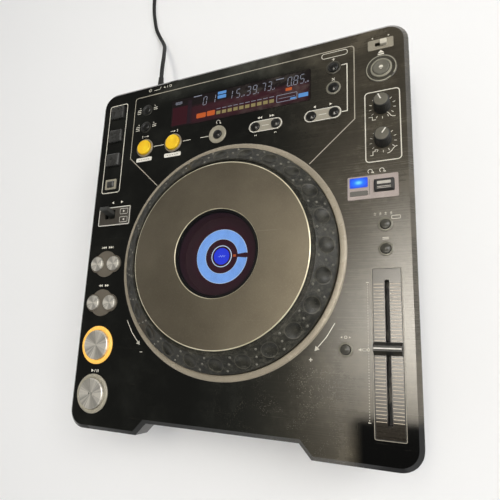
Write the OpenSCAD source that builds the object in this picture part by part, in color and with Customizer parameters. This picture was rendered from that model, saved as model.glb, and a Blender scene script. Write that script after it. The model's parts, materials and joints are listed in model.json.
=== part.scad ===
// Tabletop player for discs: a gloss panel laid out round a jog dial, a disc slot in the front,
// and a mechanism, boards and power supply in a sheet tray below.
// Origin: centre of the footprint on the table. X to the right, Y to the rear, Z up. Millimetres.

/* [Panel] */
// Height of the panel's top face above the table
panel_top = 87.5; // [86:0.5:100]
// Thickness of the panel's flat top
panel_t = 3; // [2.5:0.1:4]
// Panel edge to the trim ring, at the left and right
side_zone = 50.7; // [48:0.1:60]
// Front edge of the panel to the trim ring
front_zone = 52.2; // [48:0.1:70]
// Trim ring to the rear edge of the panel
rear_zone = 88.2; // [88:0.1:100]
// Radius of the panel's corners
corner_r = 17; // [13:0.5:24]
// Width of the bevel round the top face
bevel_w = 3.5; // [2:0.1:5]
// Height of the bevel round the top face
bevel_h = 3; // [1.5:0.1:5]
// Height of the panel's skirt, from its lower edge to the top face
skirt_h = 21.5; // [20.5:0.5:24]
// Wall of the skirt
skirt_wall = 2.5; // [2:0.1:3]
// Depth of the notch in the front edge
notch_depth = 11; // [8:0.5:16]
// Half width of the notch at its inner edge
notch_in = 71; // [66:0.5:78]
// Half width of the notch at the front edge
notch_out = 81; // [79:0.5:90]

/* [Cabinet] */
// Height of the rubber feet
foot_h = 8; // [5:0.5:14]
// Diameter of the rubber feet
foot_d = 38; // [24:1:44]
// Panel edge to the centre of each foot, in X
foot_in_x = 34; // [30:1:60]
// Panel edge to the centre of each foot, in Y
foot_in_y = 38; // [34:1:60]
// Thickness of the tray's sheet
sheet_t = 1.5; // [1:0.1:2.5]
// Wall of the body shell
shell_wall = 2.5; // [2:0.1:3.5]
// Panel edge to the shell's outer face, just under the panel
shell_in_top = 6; // [5:0.5:8]
// Panel edge to the shell's outer face, at the tray
shell_in_base = 10; // [8:0.5:13]
// Height of the ledge that carries the panel's skirt
ledge_h = 2.5; // [2:0.1:4]
// Panel edge to the ends of the rear sockets
socket_reach = 11; // [6:0.5:14]
// Width of the corner of the shell beside the rear wall
rear_corner = 22; // [18:0.5:30]
// Number of cooling slots in each field of the tray
vent_count = 8; // [2:1:12]
// Pitch of the cooling slots
vent_pitch = 8; // [6:0.5:10]
// Width of a cooling slot
vent_w = 3; // [2:0.1:5]

/* [Jog dial] */
// Outer radius of the trim ring
trim_r = 109.3; // [104:0.1:116]
// Width of the trim ring seen on the panel
trim_w = 5.8; // [4:0.1:7]
// Height of the trim ring above the panel
trim_h = 1.2; // [0.6:0.1:2.5]
// Height of the jog plate's top above the panel
jog_h = 17.5; // [14:0.1:22]
// Width of the dial's slope, seen from above
slope_w = 14.1; // [11:0.1:18]
// Thickness of the jog plate
plate_t = 2; // [1.5:0.1:3]
// Width of the groove round the jog plate
groove_w = 2.8; // [1:0.1:4]
// Width of the flat lip at the top of the dial's slope
lip_w = 1.3; // [0.8:0.1:2]
// Height of the dial's outer edge above the panel
rim_h = 4.8; // [2.5:0.1:6]
// Number of finger dimples in the slope
dimple_count = 24; // [12:1:26]
// How far a dimple runs past each edge of the slope
dimple_over = 0.15; // [0:0.05:0.3]
// Depth of a dimple
dimple_depth = 1.9; // [0.6:0.1:2.2]
// Radius of the raised dots between the dimples
dot_r = 1.2; // [0.6:0.1:1.6]
// Sideways lean of each row of dots, in degrees from its inner to its outer dot
dot_lean = 3.7; // [0:0.1:5]
// Radius of the centre display
display_r = 39.5; // [34:0.1:44]
// Depth of the centre display's cup, from its lens down to the screen
display_depth = 12.5; // [4:0.5:14]
// Thickness of the display's clear lens
lens_t = 1.2; // [0.8:0.1:2]

/* [Keys] */
// Radius of the cue and play keys
transport_r = 14.4; // [12:0.1:15]
// Outer radius of the rings round the cue and play keys
transport_ring_r = 18.6; // [17.5:0.1:20]
// Pitch between the play and cue keys
transport_pitch = 46.4; // [42:0.1:50]
// Front edge of the panel to the play key
play_front = 33; // [30:0.1:36]
// Pitch between the cue key and the search keys
search_pitch = 41.9; // [38:0.1:43]
// Pitch between the search and the track search keys
track_pitch = 40; // [32:0.1:41]
// Radius of the search keys
search_r = 7.4; // [5:0.1:8]
// Pitch between the two keys of a search pair
search_pair = 20.3; // [19.6:0.1:22]
// Radius of the loop keys
loop_r = 8; // [6:0.1:8.5]
// Radius of the small keys
small_r = 4.4; // [3:0.1:4.6]
// Radius of the tempo keys
tempo_key_r = 3.7; // [3:0.1:4.5]
// Radius of the eject key
eject_r = 6.8; // [5:0.1:7.5]
// Width of a hot cue key
hot_w = 16; // [12:0.1:17]
// Depth of a hot cue key
hot_d = 14; // [12:0.1:16]
// Pitch of the hot cue keys
hot_pitch = 28; // [26:0.1:29]
// Travel of the keys
key_travel = 1.2; // [0.6:0.1:2]
// Gap between a key and its hole
key_gap = 0.3; // [0.2:0.05:0.5]
// Width of the flange that keeps a key under the panel
key_lip = 1.2; // [0.8:0.1:1.4]

/* [Controls] */
// Width of the slider plate
slider_w = 22.3; // [21:0.1:26]
// Length of the slider plate
slider_l = 125.8; // [118:0.1:135]
// Travel of the fader
fader_travel = 100; // [60:1:104]
// Distance of the fader behind the middle of its travel
fader_rest = 1.6; // [-20:0.1:20]
// Width of the fader cap
fader_w = 19.6; // [14:0.1:20.5]
// Depth of the fader cap
fader_d = 9.6; // [7:0.1:14]
// Height of the fader cap above the slider plate
fader_h = 10.5; // [7:0.1:14]
// Diameter of the rotary knobs
knob_d = 13.4; // [10:0.1:16]
// Height of the rotary knobs above the panel
knob_h = 12.5; // [8:0.1:18]
// Pitch of the rotary knobs
knob_pitch = 30; // [24:0.5:32]
// Height of the direction lever above the panel
lever_h = 12; // [8:0.5:16]
// Width of the direction lever
lever_w = 9.6; // [6:0.1:11]
// Thickness of the direction lever
lever_t = 4.2; // [3:0.1:6]
// Swing of the direction lever, in degrees from one end to the other
lever_swing = 20; // [8:1:24]
// Travel of the eject lock
lock_travel = 5; // [3:0.1:6]

/* [Disc mechanism] */
// Diameter of the disc
disc_d = 120; // [110:1:124]
// Height of the disc's path above the table
disc_z = 46; // [45:0.5:50]
// Height of the disc slot
slot_h = 5.4; // [5:0.1:7]
// Width of the slot beyond the disc
slot_spare = 8; // [5:0.5:12]
// Width of the slot fascia
fascia_w = 146; // [142:0.5:147]
// Height of the slot fascia
fascia_h = 24; // [18:0.5:30]
// Radius of the loading roller
roller_r = 5.5; // [3:0.1:6]
// Thickness of the mechanism's decks
deck_t = 2; // [1.5:0.1:3]
// Travel of the pickup sled
sled_travel = 33; // [25:0.5:36]

/* [Mains lead] */
// Diameter of the lead
lead_d = 4.8; // [4:0.1:6]
// Height of the mains inlet above the table
inlet_z = 44; // [36:0.5:50]
// Left edge of the panel to the inlet
inlet_in = 44; // [40:0.5:50]

/* [Hidden] */

$fn = 48;
eps = 0.01;
corner_steps = 8;
seat_gap = 0.3;
run_gap = 0.3;

// Plan of the panel, laid out round the jog dial
half_w = trim_r + side_zone;
panel_d = front_zone + 2 * trim_r + rear_zone;
front_y = -(panel_d + socket_reach) / 2;
rear_y = front_y + panel_d;
socket_end_y = rear_y + socket_reach;
jog_y = front_y + front_zone + trim_r;
panel_under = panel_top - panel_t;
skirt_z = panel_top - skirt_h;
shell_top = skirt_z;
tray_z = foot_h;
floor_z = tray_z + sheet_t;
rear_face = rear_y - skirt_wall - seat_gap;
rear_open = half_w - rear_corner;

// Columns and rows of the controls
left_col = -half_w + 27;
hot_col = -half_w + 22.8;
right_col = half_w - 21.8;
inner_col = trim_r - 10.8;
cue_y = front_y + play_front + transport_pitch;
search_y = cue_y + search_pitch;
track_y = search_y + track_pitch;
loop_y = jog_y + trim_r + 13.6;
lower_y = loop_y + 24;
upper_y = lower_y + 19.8;
play_at = [left_col, front_y + play_front];
cue_at = [left_col, cue_y];
search_half = search_pair / 2;
search_back_at = [left_col - search_half, search_y];
search_forward_at = [left_col + search_half, search_y];
track_back_at = [left_col - search_half, track_y];
track_forward_at = [left_col + search_half, track_y];
hot_top_y = rear_y - 26.3;
record_at = [hot_col - 0.4, hot_top_y - 3 * hot_pitch];
time_at = [-inner_col, upper_y];
display_at = [-inner_col, lower_y];
memory_at = [inner_col, upper_y];
delete_at = [inner_col, lower_y];
loop_in_at = [1.1 - inner_col, loop_y];
loop_out_at = [loop_in_at.x + 34.6, loop_y];
reloop_at = [-12.7, loop_y];
wave_x = 36.5;
call_x = inner_col - 9.4;
pair_half = 9.95;
wave_back_at = [wave_x - pair_half, loop_y];
wave_forward_at = [wave_x + pair_half, loop_y];
call_back_at = [call_x - pair_half, loop_y];
call_forward_at = [call_x + pair_half, loop_y];
lock_y = rear_y - 18.8;
eject_at = [right_col, rear_y - 41.7];
touch_y = rear_y - 77.5;
release_y = touch_y - knob_pitch;
mode_y = jog_y + 50.8;
mode_plate_x = right_col - 8.8;
mode_at = [right_col, mode_y + 0.5];
lever_x = -half_w + 26;
lever_y = mode_y + 2;
lever_plate_x = -half_w + 31.7;
range_at = [right_col, jog_y + 19];
master_at = [right_col, jog_y - 0.7];
slider_y = front_y + 83.2;
reset_at = [right_col - slider_w / 2 - 19.6, slider_y];
window_x = 5;
window_y = lower_y + 8.4;
window_w = 146;
window_d = 31;
record_w = 8.7;
record_d = 6.7;
mode_key_w = 15;
mode_key_d = 10;
lamp_w = 13.9;
lamp_x = mode_plate_x - 10.7;

// Round keys: place, radius of the cap
ROUND_KEYS = [
  [play_at, transport_r],
  [cue_at, transport_r],
  [search_back_at, search_r],
  [search_forward_at, search_r],
  [track_back_at, search_r],
  [track_forward_at, search_r],
  [loop_in_at, loop_r],
  [loop_out_at, loop_r],
  [reloop_at, small_r],
  [wave_back_at, small_r],
  [wave_forward_at, small_r],
  [call_back_at, small_r],
  [call_forward_at, small_r],
  [memory_at, small_r],
  [delete_at, small_r],
  [time_at, small_r],
  [display_at, small_r],
  [eject_at, eject_r],
  [range_at, tempo_key_r],
  [master_at, tempo_key_r],
  [reset_at, tempo_key_r]];

// Square keys: place, width, depth
SQUARE_KEYS = [
  [[hot_col, hot_top_y], hot_w, hot_d],
  [[hot_col, hot_top_y - hot_pitch], hot_w, hot_d],
  [[hot_col, hot_top_y - 2 * hot_pitch], hot_w, hot_d],
  [record_at, record_w, record_d],
  [mode_at, mode_key_w, mode_key_d]];

// Heights under the panel
board_t = 1.6;
board_z = panel_under - 16.5;
board_top = board_z + board_t;
flange_t = 1.5;
flange_top = panel_under - seat_gap;
flange_z = flange_top - flange_t;
key_foot_z = flange_z - 5.5;
switch_top = key_foot_z - key_travel - 0.1;
key_foot_r = 2.2;
square_edge = 1;
key_bevel_w = 1.3;
key_bevel_h = 0.9;
small_dome = 0.7;
bezel_t = 0.9;
plate_h = 0.8;

// Colours
gloss_black = "#161616";
satin_black = "#242424";
warm_grey = "#8f867a";
dark_grey = "#4a4843";
board_green = "#1f5136";
steel_grey = "#9b9d9f";

// ---- shared shapes ----

// Points on an arc about c, from angle a to angle b
function arc_points(c, r, a, b) =
  [for (i = [0:corner_steps]) let (t = a + (b - a) * i / corner_steps) c + r * [cos(t), sin(t)]];

// Outline of the cabinet, drawn in from the panel's edge:
// by side at the front and the sides, and by back at the rear
function cabinet_outline(side, back) =
  let (
    run = [notch_out - notch_in, -notch_depth],
    across = -run.y / norm(run),
    shift = side * (1 - run.x / norm(run)) / across,
    w = half_w - side,
    f = front_y + side,
    b = rear_y - back,
    r = corner_r - side,
    r2 = max(corner_r - back, 2)
  ) concat(
    [[-notch_out - shift, f], [-notch_in - shift, f + notch_depth]],
    [[notch_in + shift, f + notch_depth], [notch_out + shift, f]],
    arc_points([w - r, f + r], r, -90, 0),
    arc_points([w - r2, b - r2], r2, 0, 90),
    arc_points([r2 - w, b - r2], r2, 90, 180),
    arc_points([r - w, f + r], r, 180, 270));

function lifted(outline, z) = [for (p = outline) [p.x, p.y, z]];

function middle(ring) = [for (p = ring) 1] * ring / len(ring);

// Solid through a stack of rings, each with the same number of points, lowest first.
// The end faces fan out from the middle of the ring, so a ring may have a notch.
module loft(rings) {
  n = len(rings[0]);
  last = len(rings) - 1;
  low = (last + 1) * n;
  high = low + 1;
  polyhedron(
    points = concat([for (ring = rings) each ring], [middle(rings[0]), middle(rings[last])]),
    faces = [for (i = [0:n - 1]) let (j = (i + 1) % n) each concat(
      [[low, i, j], [high, last * n + j, last * n + i]],
      [for (k = [0:last - 1]) [k * n + i, (k + 1) * n + i, (k + 1) * n + j, k * n + j]])]);
}

module rounded_rect(w, d, r) {
  square([w - 2 * r, d], center = true);
  square([w, d - 2 * r], center = true);
  for (sx = [-1, 1], sy = [-1, 1])
    translate([sx * (w / 2 - r), sy * (d / 2 - r)]) circle(r);
}

// Rounded slab at a place on the panel, from z0 to z1
module slab(at, w, d, r, z0, z1) {
  translate([at.x, at.y, z0]) linear_extrude(z1 - z0) rounded_rect(w, d, r);
}

// Round disc or drum at a place on the panel, from z0 to z1
module drum(at, r, z0, z1) {
  translate([at.x, at.y, z0]) cylinder(r = r, h = z1 - z0);
}

module ring(at, r_out, r_in, z0, z1) {
  difference() {
    drum(at, r_out, z0, z1);
    drum(at, r_in, z0 - eps, z1 + eps);
  }
}

// Round key: cap, keeper flange under the panel and the foot over its switch.
// Its top is dished, or domed where dish is below 0.
module round_key(at, r, rise, dish) {
  edge = min(0.8, r / 6);
  top = panel_top + rise;
  translate([at.x, at.y, 0]) rotate_extrude() polygon([
    [0, key_foot_z],
    [key_foot_r, key_foot_z],
    [key_foot_r, flange_z],
    [r + key_lip, flange_z],
    [r + key_lip, flange_top],
    [r, flange_top],
    [r, top - edge],
    [r - edge, top],
    [r - 1.6 * edge, top],
    [r * 0.4, top - 0.8 * dish],
    [0, top - dish]]);
}

// Profile of a bevelled block, from z0 to z1, width w at the foot
module bevelled_profile(w, z0, z1) {
  polygon([
    [-w / 2, z0],
    [w / 2, z0],
    [w / 2, z1 - key_bevel_h],
    [w / 2 - key_bevel_w, z1],
    [key_bevel_w - w / 2, z1],
    [-w / 2, z1 - key_bevel_h]]);
}

// Square key, with bevelled edges round its top
module square_key(at, w, d, rise) {
  top = panel_top + rise;
  intersection() {
    slab(at, w, d, square_edge, flange_top - eps, top);
    translate([at.x - w / 2, at.y, 0]) rotate([90, 0, 90]) linear_extrude(w)
      bevelled_profile(d, flange_top - eps, top);
    translate([at.x, at.y + d / 2, 0]) rotate([90, 0, 0]) linear_extrude(d)
      bevelled_profile(w, flange_top - eps, top);
  }
  slab(at, w + 2 * key_lip, d + 2 * key_lip, square_edge, flange_z, flange_top);
  drum(at, key_foot_r, key_foot_z, flange_z + eps);
}

vent_l = 50;

module vent_field(x, y, l) {
  for (i = [0:vent_count - 1])
    translate([x, y + (i - (vent_count - 1) / 2) * vent_pitch, tray_z - 1])
      linear_extrude(sheet_t + 2) rounded_rect(l, vent_w, vent_w / 2 - 0.1);
}

// ---- cabinet ----

rear_holes_r = 5.2;
phono_z = 40;
phono_x = [52, 68];
digital_x = 92;
control_x = 112;
power_x = -half_w + 70;
inlet_x = -half_w + inlet_in;
inlet_w = 24;
inlet_h = 13;
power_w = 9;
SOCKETS = [phono_x[0], phono_x[1], digital_x];
standoff_z = floor_z + 4.5;
fold_x = half_w - shell_in_base - shell_wall - 2.2;
fold_front = 40;
fold_rear = 50;
fold_h = 16;
main_board_x = 62;
supply_board_x = -94;
inner_board_y = rear_y - 66;
main_board_w = 150;
supply_board_w = 92;
inner_board_d = 88;

module bottom_chassis() color(steel_grey) {
  difference() {
    translate([0, 0, tray_z]) linear_extrude(sheet_t)
      polygon(cabinet_outline(shell_in_base, skirt_wall + seat_gap));
    for (side = [-1, 1]) vent_field(side * (half_w - 48), front_y + 150, vent_l);
    for (p = base_screws) drum(p, 1.6, tray_z - 1, floor_z + 1);
  }
  difference() {
    translate([-rear_open + seat_gap, rear_face - sheet_t, floor_z - eps])
      cube([2 * (rear_open - seat_gap), sheet_t, panel_under - seat_gap - floor_z]);
    for (x = SOCKETS) rear_hole(x, phono_z, rear_holes_r);
    rear_hole(control_x, phono_z, 3.6);
    rear_window(inlet_x, inlet_w, inlet_h);
    rear_window(power_x, power_w + 2 * key_gap, power_w + 2 * key_gap);
  }
  for (side = [-1, 1])
    translate([side * fold_x - sheet_t / 2, front_y + fold_front, floor_z - eps])
      cube([sheet_t, panel_d - fold_front - fold_rear, fold_h]);
  for (x = [main_board_x - 66, main_board_x + 66, supply_board_x - 38, supply_board_x + 38],
       y = [inner_board_y - 36, inner_board_y + 36])
    drum([x, y], 3, floor_z - eps, standoff_z);
}

module rear_hole(x, z, r) {
  translate([x, rear_face + 4, z]) rotate([90, 0, 0]) cylinder(r = r, h = 8);
}

module rear_window(x, w, h) {
  translate([x, rear_face, inlet_z]) cube([w, 8, h], center = true);
}

foot_x = half_w - foot_in_x;
foot_front = front_y + foot_in_y;
foot_rear = rear_y - foot_in_y;
base_screws = [for (x = [-1, 0, 1], y = [front_y + 74, rear_y - 14]) [x * (half_w - 42), y]];

module rubber_feet() color(satin_black)
  for (x = [-foot_x, foot_x], y = [foot_front, foot_rear])
    translate([x, y, 0]) difference() {
      union() {
        cylinder(r1 = foot_d / 2 - 1.5, r2 = foot_d / 2, h = 1.5);
        translate([0, 0, 1.5 - eps])
          cylinder(r1 = foot_d / 2, r2 = foot_d / 2 - 1, h = foot_h - 1.5 + eps);
      }
      translate([0, 0, -eps]) cylinder(r = 5, h = foot_h * 0.6);
    }

screw_head_r = 2.9;
screw_head_h = 1.5;
rear_screw_in = 12;
rear_screw_mid = 30;
rear_screws = [rear_screw_in - rear_open, -rear_screw_mid, rear_screw_mid, rear_open - rear_screw_in];

module case_screws() color("#2b2b2b") {
  for (p = base_screws) difference() {
    union() {
      drum(p, screw_head_r, tray_z - screw_head_h, tray_z);
      drum(p, 1.3, tray_z - eps, floor_z + 2);
    }
    drum(p, 1.2, tray_z - screw_head_h - eps, tray_z - screw_head_h + 0.8);
  }
  for (x = rear_screws) translate([x, rear_face, floor_z + 8]) rotate([-90, 0, 0]) difference() {
    cylinder(r = screw_head_r, h = screw_head_h);
    translate([0, 0, screw_head_h - 0.8]) cylinder(r = 1.2, h = 1);
  }
}

module body_shell() color(satin_black) {
  back = skirt_wall + seat_gap;
  difference() {
    union() {
      loft([
        lifted(cabinet_outline(shell_in_base, back), floor_z),
        lifted(cabinet_outline(shell_in_top, back), shell_top - ledge_h + eps)]);
      translate([0, 0, shell_top - ledge_h]) linear_extrude(ledge_h) polygon(cabinet_outline(1, back));
    }
    loft([
      lifted(cabinet_outline(shell_in_base + shell_wall, back + shell_wall), floor_z - 1),
      lifted(cabinet_outline(shell_in_top + shell_wall, back + shell_wall), shell_top + 1)]);
    translate([-rear_open, rear_y - 20, floor_z - 1]) cube([2 * rear_open, 30, shell_top]);
    translate([0, front_y + 20, disc_z])
      cube([fascia_w + 2 * seat_gap, 40, fascia_h + 2 * seat_gap], center = true);
  }
}

trim_collar = 2.2;
well_r = trim_r - 3.3;
window_lip = 3;
lever_pivot_z = panel_under - 6;
lever_slot_w = lever_w + 1.2;
// Half length of the slot that the leaning lever needs at height z
function lever_reach(z) =
  (lever_t / 2) / cos(lever_swing / 2) + (z - lever_pivot_z) * tan(lever_swing / 2) + 0.5;
fader_slot_w = 3.4;
fader_stem_w = fader_slot_w - 2 * run_gap;
fader_stem_l = 6;
fader_slot_l = fader_travel + fader_stem_l + 2 * run_gap;
lock_slot_w = lock_travel + 4.2;
lock_slot_d = 3.4;
lock_x = right_col;
lever_slot_d = 2 * lever_reach(panel_top);

module panel_holes() {
  low = panel_under - 1;
  high = panel_top + 1;
  drum([0, jog_y], well_r, low, high);
  for (k = ROUND_KEYS) drum(k[0], k[1] + key_gap, low, high);
  for (k = SQUARE_KEYS)
    slab(k[0], k[1] + 2 * key_gap, k[2] + 2 * key_gap, square_edge, low, high);
  slab([window_x, window_y], window_w + 2 * seat_gap, window_d + 2 * seat_gap, 2, low, high);
  slab([lever_x, lever_y], lever_slot_w, lever_slot_d, 1, low, high);
  slab([right_col, slider_y], fader_slot_w, fader_slot_l, 1, low, high);
  slab([lock_x, lock_y], lock_slot_w, lock_slot_d, 1, low, high);
  for (y = [touch_y, release_y]) drum([right_col, y], shaft_r + key_gap, low, high);
}

module top_panel() color(gloss_black) difference() {
  loft([
    lifted(cabinet_outline(0, 0), skirt_z),
    lifted(cabinet_outline(0, 0), panel_top - bevel_h),
    lifted(cabinet_outline(bevel_w, bevel_w), panel_top)]);
  translate([0, 0, skirt_z - 1]) linear_extrude(panel_under - skirt_z + 1)
    polygon(cabinet_outline(skirt_wall, skirt_wall));
  panel_holes();
}

module display_window() color("#2a1a24") {
  slab([window_x, window_y], window_w, window_d, 2, panel_under - eps, panel_top);
  slab([window_x, window_y], window_w + 2 * window_lip, window_d + 2 * window_lip, 2,
    panel_under - 1.5, panel_under);
}

module jog_trim_ring() color(warm_grey)
  translate([0, jog_y, 0]) rotate_extrude($fn = 96) polygon([
    [trim_r - trim_w, panel_under - 0.5],
    [trim_r - trim_w + trim_collar, panel_under - 0.5],
    [well_r - seat_gap, panel_under],
    [well_r - seat_gap, panel_top],
    [trim_r, panel_top],
    [trim_r, panel_top + trim_h / 3],
    [trim_r - 1.2, panel_top + trim_h],
    [trim_r - trim_w + 0.8, panel_top + trim_h],
    [trim_r - trim_w, panel_top + trim_h / 2]]);

fascia_front = front_y + notch_depth + 2.5;
fascia_t = 11;
slot_w = disc_d + slot_spare;
scoop_r = 42;
scoop_depth = 5;

module slot_fascia() color(satin_black) difference() {
  translate([0, fascia_front + fascia_t, disc_z]) rotate([90, 0, 0])
    linear_extrude(fascia_t) rounded_rect(fascia_w, fascia_h, 3);
  translate([-slot_w / 2, fascia_front - 1, disc_z - slot_h / 2]) cube([slot_w, fascia_t + 2, slot_h]);
  // flared mouth of the slot
  translate([-slot_w / 2 - 2, 0, 0]) rotate([90, 0, 90]) linear_extrude(slot_w + 4) polygon([
    [fascia_front - 1, disc_z - slot_h / 2 - 4],
    [fascia_front + 4, disc_z - slot_h / 2],
    [fascia_front + 4, disc_z + slot_h / 2],
    [fascia_front - 1, disc_z + slot_h / 2 + 4]]);
  // finger scoop at the middle
  translate([0, fascia_front + scoop_depth - scoop_r, disc_z - fascia_h / 2 + 3])
    cylinder(r = scoop_r, h = fascia_h - 6);
}

// ---- panel fittings ----

bezel_gap = 0.3;

// Grey plate under a pair of search keys: a round middle with an ear for each key
module search_bezel(y) {
  difference() {
    union() {
      drum([left_col, y], 13.6, panel_top, panel_top + bezel_t);
      for (s = [-1, 1]) drum([left_col + s * search_half, y], search_r + 1.5, panel_top, panel_top + bezel_t);
    }
    for (s = [-1, 1])
      drum([left_col + s * search_half, y], search_r + bezel_gap, panel_top - 1, panel_top + 2);
  }
}

module pair_bezel(x) {
  difference() {
    slab([x, loop_y], 2 * pair_half + 12.4, 11, 5.45, panel_top, panel_top + bezel_t);
    for (s = [-1, 1]) drum([x + s * pair_half, loop_y], small_r + bezel_gap, panel_top - 1, panel_top + 2);
  }
}

// Dished ring round a single key
module dished_ring(at, r_out, r_in, rise) {
  translate([at.x, at.y, panel_top]) rotate_extrude() polygon([
    [r_in, 0],
    [r_out, 0],
    [r_out, rise * 0.6],
    [r_out - 0.6, rise],
    [r_out - 1.4, rise],
    [r_in, rise * 0.35]]);
}

module key_bezels() color(dark_grey) {
  for (y = [search_y, track_y]) search_bezel(y);
  for (x = [wave_x, call_x]) pair_bezel(x);
  for (at = [loop_in_at, loop_out_at]) dished_ring(at, loop_r + 1.9, loop_r + bezel_gap, 1.1);
  dished_ring(reloop_at, small_r + 4.8, small_r + bezel_gap, 1.1);
  for (at = [memory_at, delete_at, time_at, display_at])
    dished_ring(at, small_r + 1.9, small_r + bezel_gap, 0.7);
  for (at = [range_at, master_at, reset_at])
    dished_ring(at, tempo_key_r + 2, tempo_key_r + bezel_gap, 0.7);
  dished_ring(eject_at, eject_r + 5.9, eject_r + 2.1, 0.7);
  dished_ring(eject_at, eject_r + 1.8, eject_r + bezel_gap, 1.6);
  difference() {
    slab(record_at, record_w + 5.4, record_d + 4.6, 1, panel_top, panel_top + bezel_t);
    slab(record_at, record_w + 2 * bezel_gap, record_d + 2 * bezel_gap, 1, panel_top - 1, panel_top + 2);
  }
}

module transport_rings() color("#c9a04a")
  for (at = [cue_at, play_at])
    translate([at.x, at.y, panel_top]) rotate_extrude() polygon([
      [transport_r + bezel_gap, 0],
      [transport_ring_r, 0],
      [transport_ring_r, 0.8],
      [transport_ring_r - 1.2, 1.8],
      [transport_r + 1.6, 1.8],
      [transport_r + bezel_gap, 1]]);

module slider_plate() color(warm_grey) difference() {
  slab([right_col, slider_y], slider_w, slider_l, 1.5, panel_top, panel_top + plate_h);
  slab([right_col, slider_y], fader_slot_w, fader_slot_l, 1, panel_top - 1, panel_top + 2);
}

lever_plate_w = 40.4;
lever_plate_d = 20.4;
mode_plate_w = 38.9;
mode_plate_d = 19.7;
lock_plate_w = 20.6;
lock_plate_d = 9.6;
lamp_gap = 0.2;
upper_lamp_d = 8.2;
lower_lamp_d = 3.8;

module control_plates() color(warm_grey) {
  low = panel_top - 1;
  high = panel_top + 2;
  difference() {
    slab([lever_plate_x, mode_y], lever_plate_w, lever_plate_d, 1, panel_top, panel_top + plate_h);
    slab([lever_x, lever_y], lever_slot_w + 2.4, 2 * lever_reach(panel_top + plate_h) + 1, 1, low, high);
  }
  difference() {
    slab([mode_plate_x, mode_y], mode_plate_w, mode_plate_d, 1, panel_top, panel_top + plate_h);
    slab(mode_at, mode_key_w + 2 * bezel_gap, mode_key_d + 2 * bezel_gap, 1, low, high);
    slab([lamp_x, mode_y + 4.5], lamp_w + 2 * lamp_gap, upper_lamp_d + 2 * lamp_gap, 1, low, high);
    slab([lamp_x, mode_y - 4.6], lamp_w + 2 * lamp_gap, lower_lamp_d + 2 * lamp_gap, 1, low, high);
  }
  difference() {
    slab([lock_x, lock_y], lock_plate_w, lock_plate_d, 1, panel_top, panel_top + plate_h);
    slab([lock_x, lock_y], lock_slot_w, lock_slot_d, 1, low, high);
  }
}

module mode_lamps() color("#2f6bff") {
  slab([lamp_x, mode_y + 4.5], lamp_w, upper_lamp_d, 1, panel_top, panel_top + plate_h + 0.4);
  slab([lamp_x, mode_y - 4.6], lamp_w, lower_lamp_d, 1, panel_top, panel_top + plate_h + 0.4);
}

// ---- jog dial ----

jog_top = panel_top + jog_h;
dial_r = trim_r - trim_w - 0.5;
slope_out = dial_r - 0.8;
slope_in = slope_out - slope_w;
plate_r = slope_in - lip_w - groove_w;
slope_low = panel_top + rim_h + 0.8;
slope_high = jog_top - plate_t - 1.2;
web_top = jog_top - plate_t;
web_t = 2.5;
web_in = display_r + 0.4;
pan_z = panel_under - 20;
pan_t = 2.5;
pan_wall_r = trim_r + 2.7;
post_r = display_r - 1.5;
hub_lip_z = pan_z + pan_t + 5;
display_top = jog_top - 0.4;
screen_z = display_top - lens_t - display_depth;
screen_t = 1.5;
display_z = screen_z - screen_t;
lens_r = display_r - 1.6;
lens_seat = 1;
lens_gap = 0.1;
slope_angle = atan((slope_high - slope_low) / (slope_out - slope_in));
slope_mid = (slope_in + slope_out) / 2;
dial_turn = 1.7;
dimple_r = slope_w / 2 + dimple_over;
dot_margin = 0.65;
dot_step = slope_w / 2 - dot_r - dot_margin;
bearing_h = 12;
dimple_ball = (dimple_r * dimple_r + dimple_depth * dimple_depth) / (2 * dimple_depth);

// Point on the slope at radius r, moved out along the slope's normal by rise
module on_slope(r, rise, turn) {
  rotate([0, 0, turn]) translate([
    r + rise * sin(slope_angle),
    0,
    slope_high - (r - slope_in) * tan(slope_angle) + rise * cos(slope_angle)]) children();
}

module dial_body() {
  rotate_extrude($fn = 96) polygon([
    [dial_r - 2.5, panel_under - 2],
    [dial_r, panel_under - 2],
    [dial_r, panel_top + rim_h],
    [slope_out, slope_low],
    [slope_in, slope_high],
    [slope_in - lip_w, slope_high],
    [slope_in - lip_w, web_top - 1.8],
    [plate_r - 1, web_top - 1.8],
    [plate_r - 1, web_top],
    [web_in, web_top],
    [web_in, hub_lip_z],
    [web_in + 3, hub_lip_z],
    [web_in + 3, web_top - web_t],
    [plate_r - 2, web_top - web_t],
    [plate_r - 2, web_top - 1.8 - web_t],
    [slope_in - 1, web_top - 1.8 - web_t],
    [slope_out - 3, slope_low - 2.4],
    [dial_r - 2.5, panel_top + rim_h - 2]]);
  // bearing lip that runs on the centre tube
  difference() {
    translate([0, 0, hub_lip_z]) cylinder(r = web_in + 1, h = bearing_h);
    translate([0, 0, hub_lip_z - 1]) cylinder(r = post_r + run_gap, h = bearing_h + 2);
  }
}

module jog_dial() color("#262624") translate([0, jog_y, 0]) rotate([0, 0, dial_turn]) difference() {
  union() {
    dial_body();
    for (i = [0:dimple_count - 1], k = [-1, 0, 1])
      on_slope(slope_mid + k * dot_step, -0.45 * dot_r, (i + 0.5) * 360 / dimple_count - k * dot_lean / 2)
        sphere(r = dot_r, $fn = 16);
  }
  for (i = [0:dimple_count - 1])
    on_slope(slope_mid, dimple_ball - dimple_depth, i * 360 / dimple_count) sphere(r = dimple_ball);
}

module jog_plate() color("#77746a") translate([0, jog_y, 0]) rotate_extrude($fn = 96) polygon([
  [web_in, web_top],
  [plate_r - 0.8, web_top],
  [plate_r, web_top + 0.8],
  [plate_r, jog_top - 0.6],
  [plate_r - 0.6, jog_top],
  [web_in + 0.5, jog_top],
  [web_in, jog_top - 0.5]]);

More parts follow.
